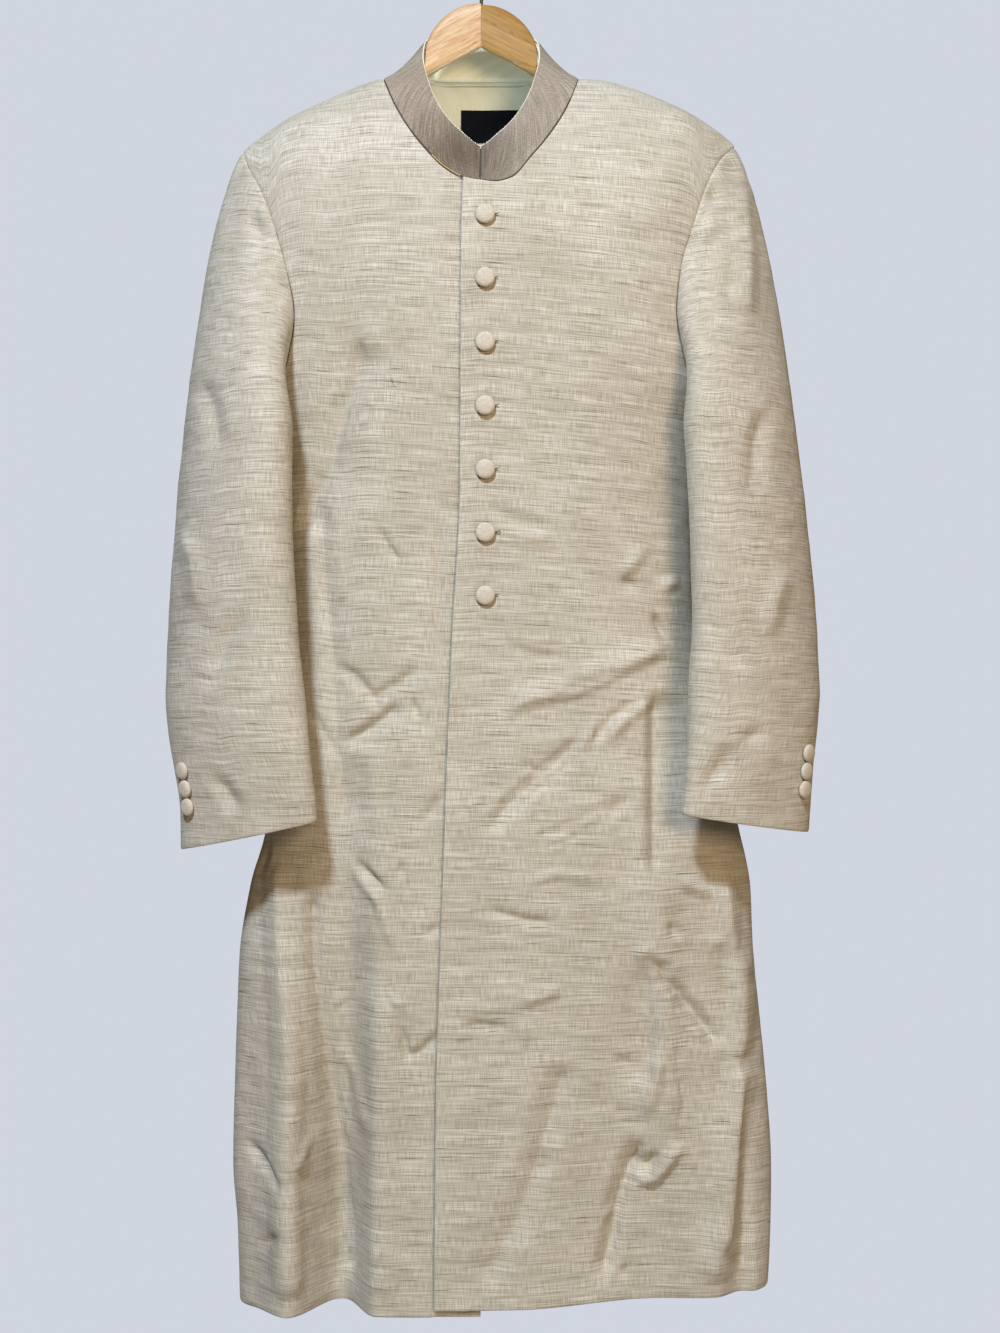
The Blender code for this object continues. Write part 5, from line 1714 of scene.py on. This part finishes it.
def hangerStations(side):
    stations = [list(row) for row in hanger["head"]]
    first, last = hanger["arm"][0][0], hanger["arm"][-1][0]
    for reach, halfWidth, depth in hanger["arm"]:
        top = float(curve(shoulderTable, "reach", side, reach))
        top += 0.5 * hanger["wall"] + hanger["seat"]
        height = mix(hanger["armHeight"], hanger["tipHeight"], (reach - first) / (last - first))
        stations.append([reach, top, top + height, halfWidth, depth])
    top, under, halfWidth, depth = stations[-1][1:]
    stations.append([hanger["reach"], top + hanger["round"], under,
                     hanger["tipShare"] * halfWidth, depth])
    return np.array(stations)


def makeHangerHalf(side):
    coarse = hangerStations(side)
    table = {"columns": ("share",) + hanger["columns"], "rows": [
        (float(i),) + tuple(row) for i, row in enumerate(coarse)
    ]}
    share = np.linspace(0.0, len(coarse) - 1.0, hanger["stations"])
    reach, top, under, halfWidth, depth = (
        curve(table, "share", name, share) for name in hanger["columns"]
    )
    onHead = np.clip(1.0 - reach / hanger["trimReach"], 0.0, 1.0) ** 0.5
    top, under = top + hanger["trim"][0] * onHead, under + hanger["trim"][1] * onHead
    fine = np.linspace(0.0, 2.0 * np.pi, 1441)
    c, s = np.cos(fine), np.sin(fine)
    power = hanger["power"]
    size = (np.abs(c) ** power + np.abs(s) ** power) ** (-1.0 / power)
    outline = np.stack((c * size, s * size), axis=-1)
    across, up = evenly(outline, hanger["sectionSides"] + 1)[0].T
    y = depth[:, None] + halfWidth[:, None] * across
    z = -0.5 * (top + under)[:, None] + 0.5 * (under - top)[:, None] * up
    x = np.broadcast_to(sides[side] * reach[:, None], y.shape)
    out, start = hanger["facetReach"]
    planed = smooth((out - reach[:, None]) / (out - start)) * np.clip(-across, 0.0, 1.0)
    facets = np.zeros(y.shape)
    cutDepth, cutWidth = hanger["scribe"]
    for way, key in ((-1.0, "lowFacet"), (1.0, "highFacet")):
        drop, fall, slant = hanger[key][side]
        past = way * (drop + fall * reach[:, None] + z)
        cut = np.clip(1.0 - np.abs(past) / cutWidth, 0.0, 1.0)
        facets += slant * np.maximum(past, 0.0) + cutDepth * cut
    y = y + planed * facets
    z = z + hanger["undercut"] * (across * np.clip(-up, 0.0, 1.0)) * onHead[:, None]
    wrappedPiece(
        "hanger" + side.capitalize(), np.stack((x, y - hangerDepth, z), axis=-1),
        "wood" + side.capitalize(), "hanger_" + side, hanger["sharpAngle"],
    )


hook = {
    "radius": 0.0016,
    "bend": 0.0220,
    "seat": 0.0004,
    "top": 0.0582,
    "stem": ((0.0, -0.0525), (0.0032, -0.0480)),
    "turns": (-62.0, 205.0, 60),
    "stations": 130,
    "sides": 14,
}


def makeHook():
    points = [(0.0, -hook["top"] + hook["seat"])] + list(hook["stem"])
    bend = hook["bend"] + hook["radius"]
    for angle in np.radians(np.linspace(*hook["turns"])):
        points.append((bend * math.cos(angle), bend * math.sin(angle) - hook["bend"]))
    line, run = evenly(np.array(points), hook["stations"])
    rounded = np.sqrt(np.clip((run[-1] - run) / hook["radius"], 0.05, 1.0))
    tubePiece("hook", np.insert(line, 1, 0.0, axis=1), hook["radius"] * rounded,
              hook["sides"], (0.0, 1.0, 0.0), "steel", "hook")


for side in sides:
    makeHangerHalf(side)
makeHook()
print("hanger made")


def addLamp(name, kind, power, tint, place, **settings):
    lamp = bpy.data.lights.new(name, kind)
    lamp.energy = power
    lamp.color = linear(tint)[:3]
    for key, value in settings.items():
        setattr(lamp, key, value)
    made = bpy.data.objects.new(name, lamp)
    made.location = place
    bpy.context.scene.collection.objects.link(made)
    return made


def makeStudio():
    bm = bmesh.new()
    bmesh.ops.create_circle(bm, cap_ends=True, segments=96, radius=studio["floorRadius"])
    bmesh.ops.translate(bm, verts=bm.verts, vec=(0.0, 0.0, -studio["floorDrop"]))
    mesh = bpy.data.meshes.new("floor")
    bm.to_mesh(mesh)
    bm.free()
    mesh.materials.append(looks["floor"])
    floor = bpy.data.objects.new("floor", mesh)
    bpy.context.scene.collection.objects.link(floor)

    world = bpy.data.worlds.new("paleStudio")
    bpy.context.scene.world = world
    world.use_nodes = True
    tree = world.node_tree
    backdrop, shown = tree.nodes["Background"], tree.nodes["World Output"]
    feed(backdrop, {"Color": linear(studio["background"])})
    ambient = addNode(tree, "Background", {
        "Color": linear(studio["ambient"]), "Strength": studio["ambientStrength"],
    })
    seen = addNode(tree, "LightPath", output="Is Camera Ray")
    feed(shown, {"Surface": addNode(tree, "MixShader", {
        0: seen, 1: ambient, 2: backdrop.outputs[0],
    })})

    for name, (way, distance, power, size, tint) in studio["lamps"].items():
        toward = Vector(way).normalized()
        made = addLamp(name, "AREA", power, tint, Vector(studio["aim"]) + toward * distance,
                       shape="DISK", size=size)
        made.rotation_euler = toward.to_track_quat("Z", "Y").to_euler()
    place, power, radius, tint = studio["neckLamp"]
    made = addLamp("neckLamp", "POINT", power, tint, place, shadow_soft_size=radius)
    made.visible_camera = False


def makeCamera():
    lens = bpy.data.cameras.new("camera")
    lens.sensor_fit = "VERTICAL"
    lens.sensor_height = camera["sensor"]
    lens.lens = camera["lens"]
    made = bpy.data.objects.new("camera", lens)
    made.location = camera["place"]
    made.rotation_euler = (math.radians(90.0), 0.0, 0.0)
    bpy.context.scene.collection.objects.link(made)
    bpy.context.scene.camera = made


makeStudio()
makeCamera()
bpy.context.scene.view_settings.view_transform = "Standard"
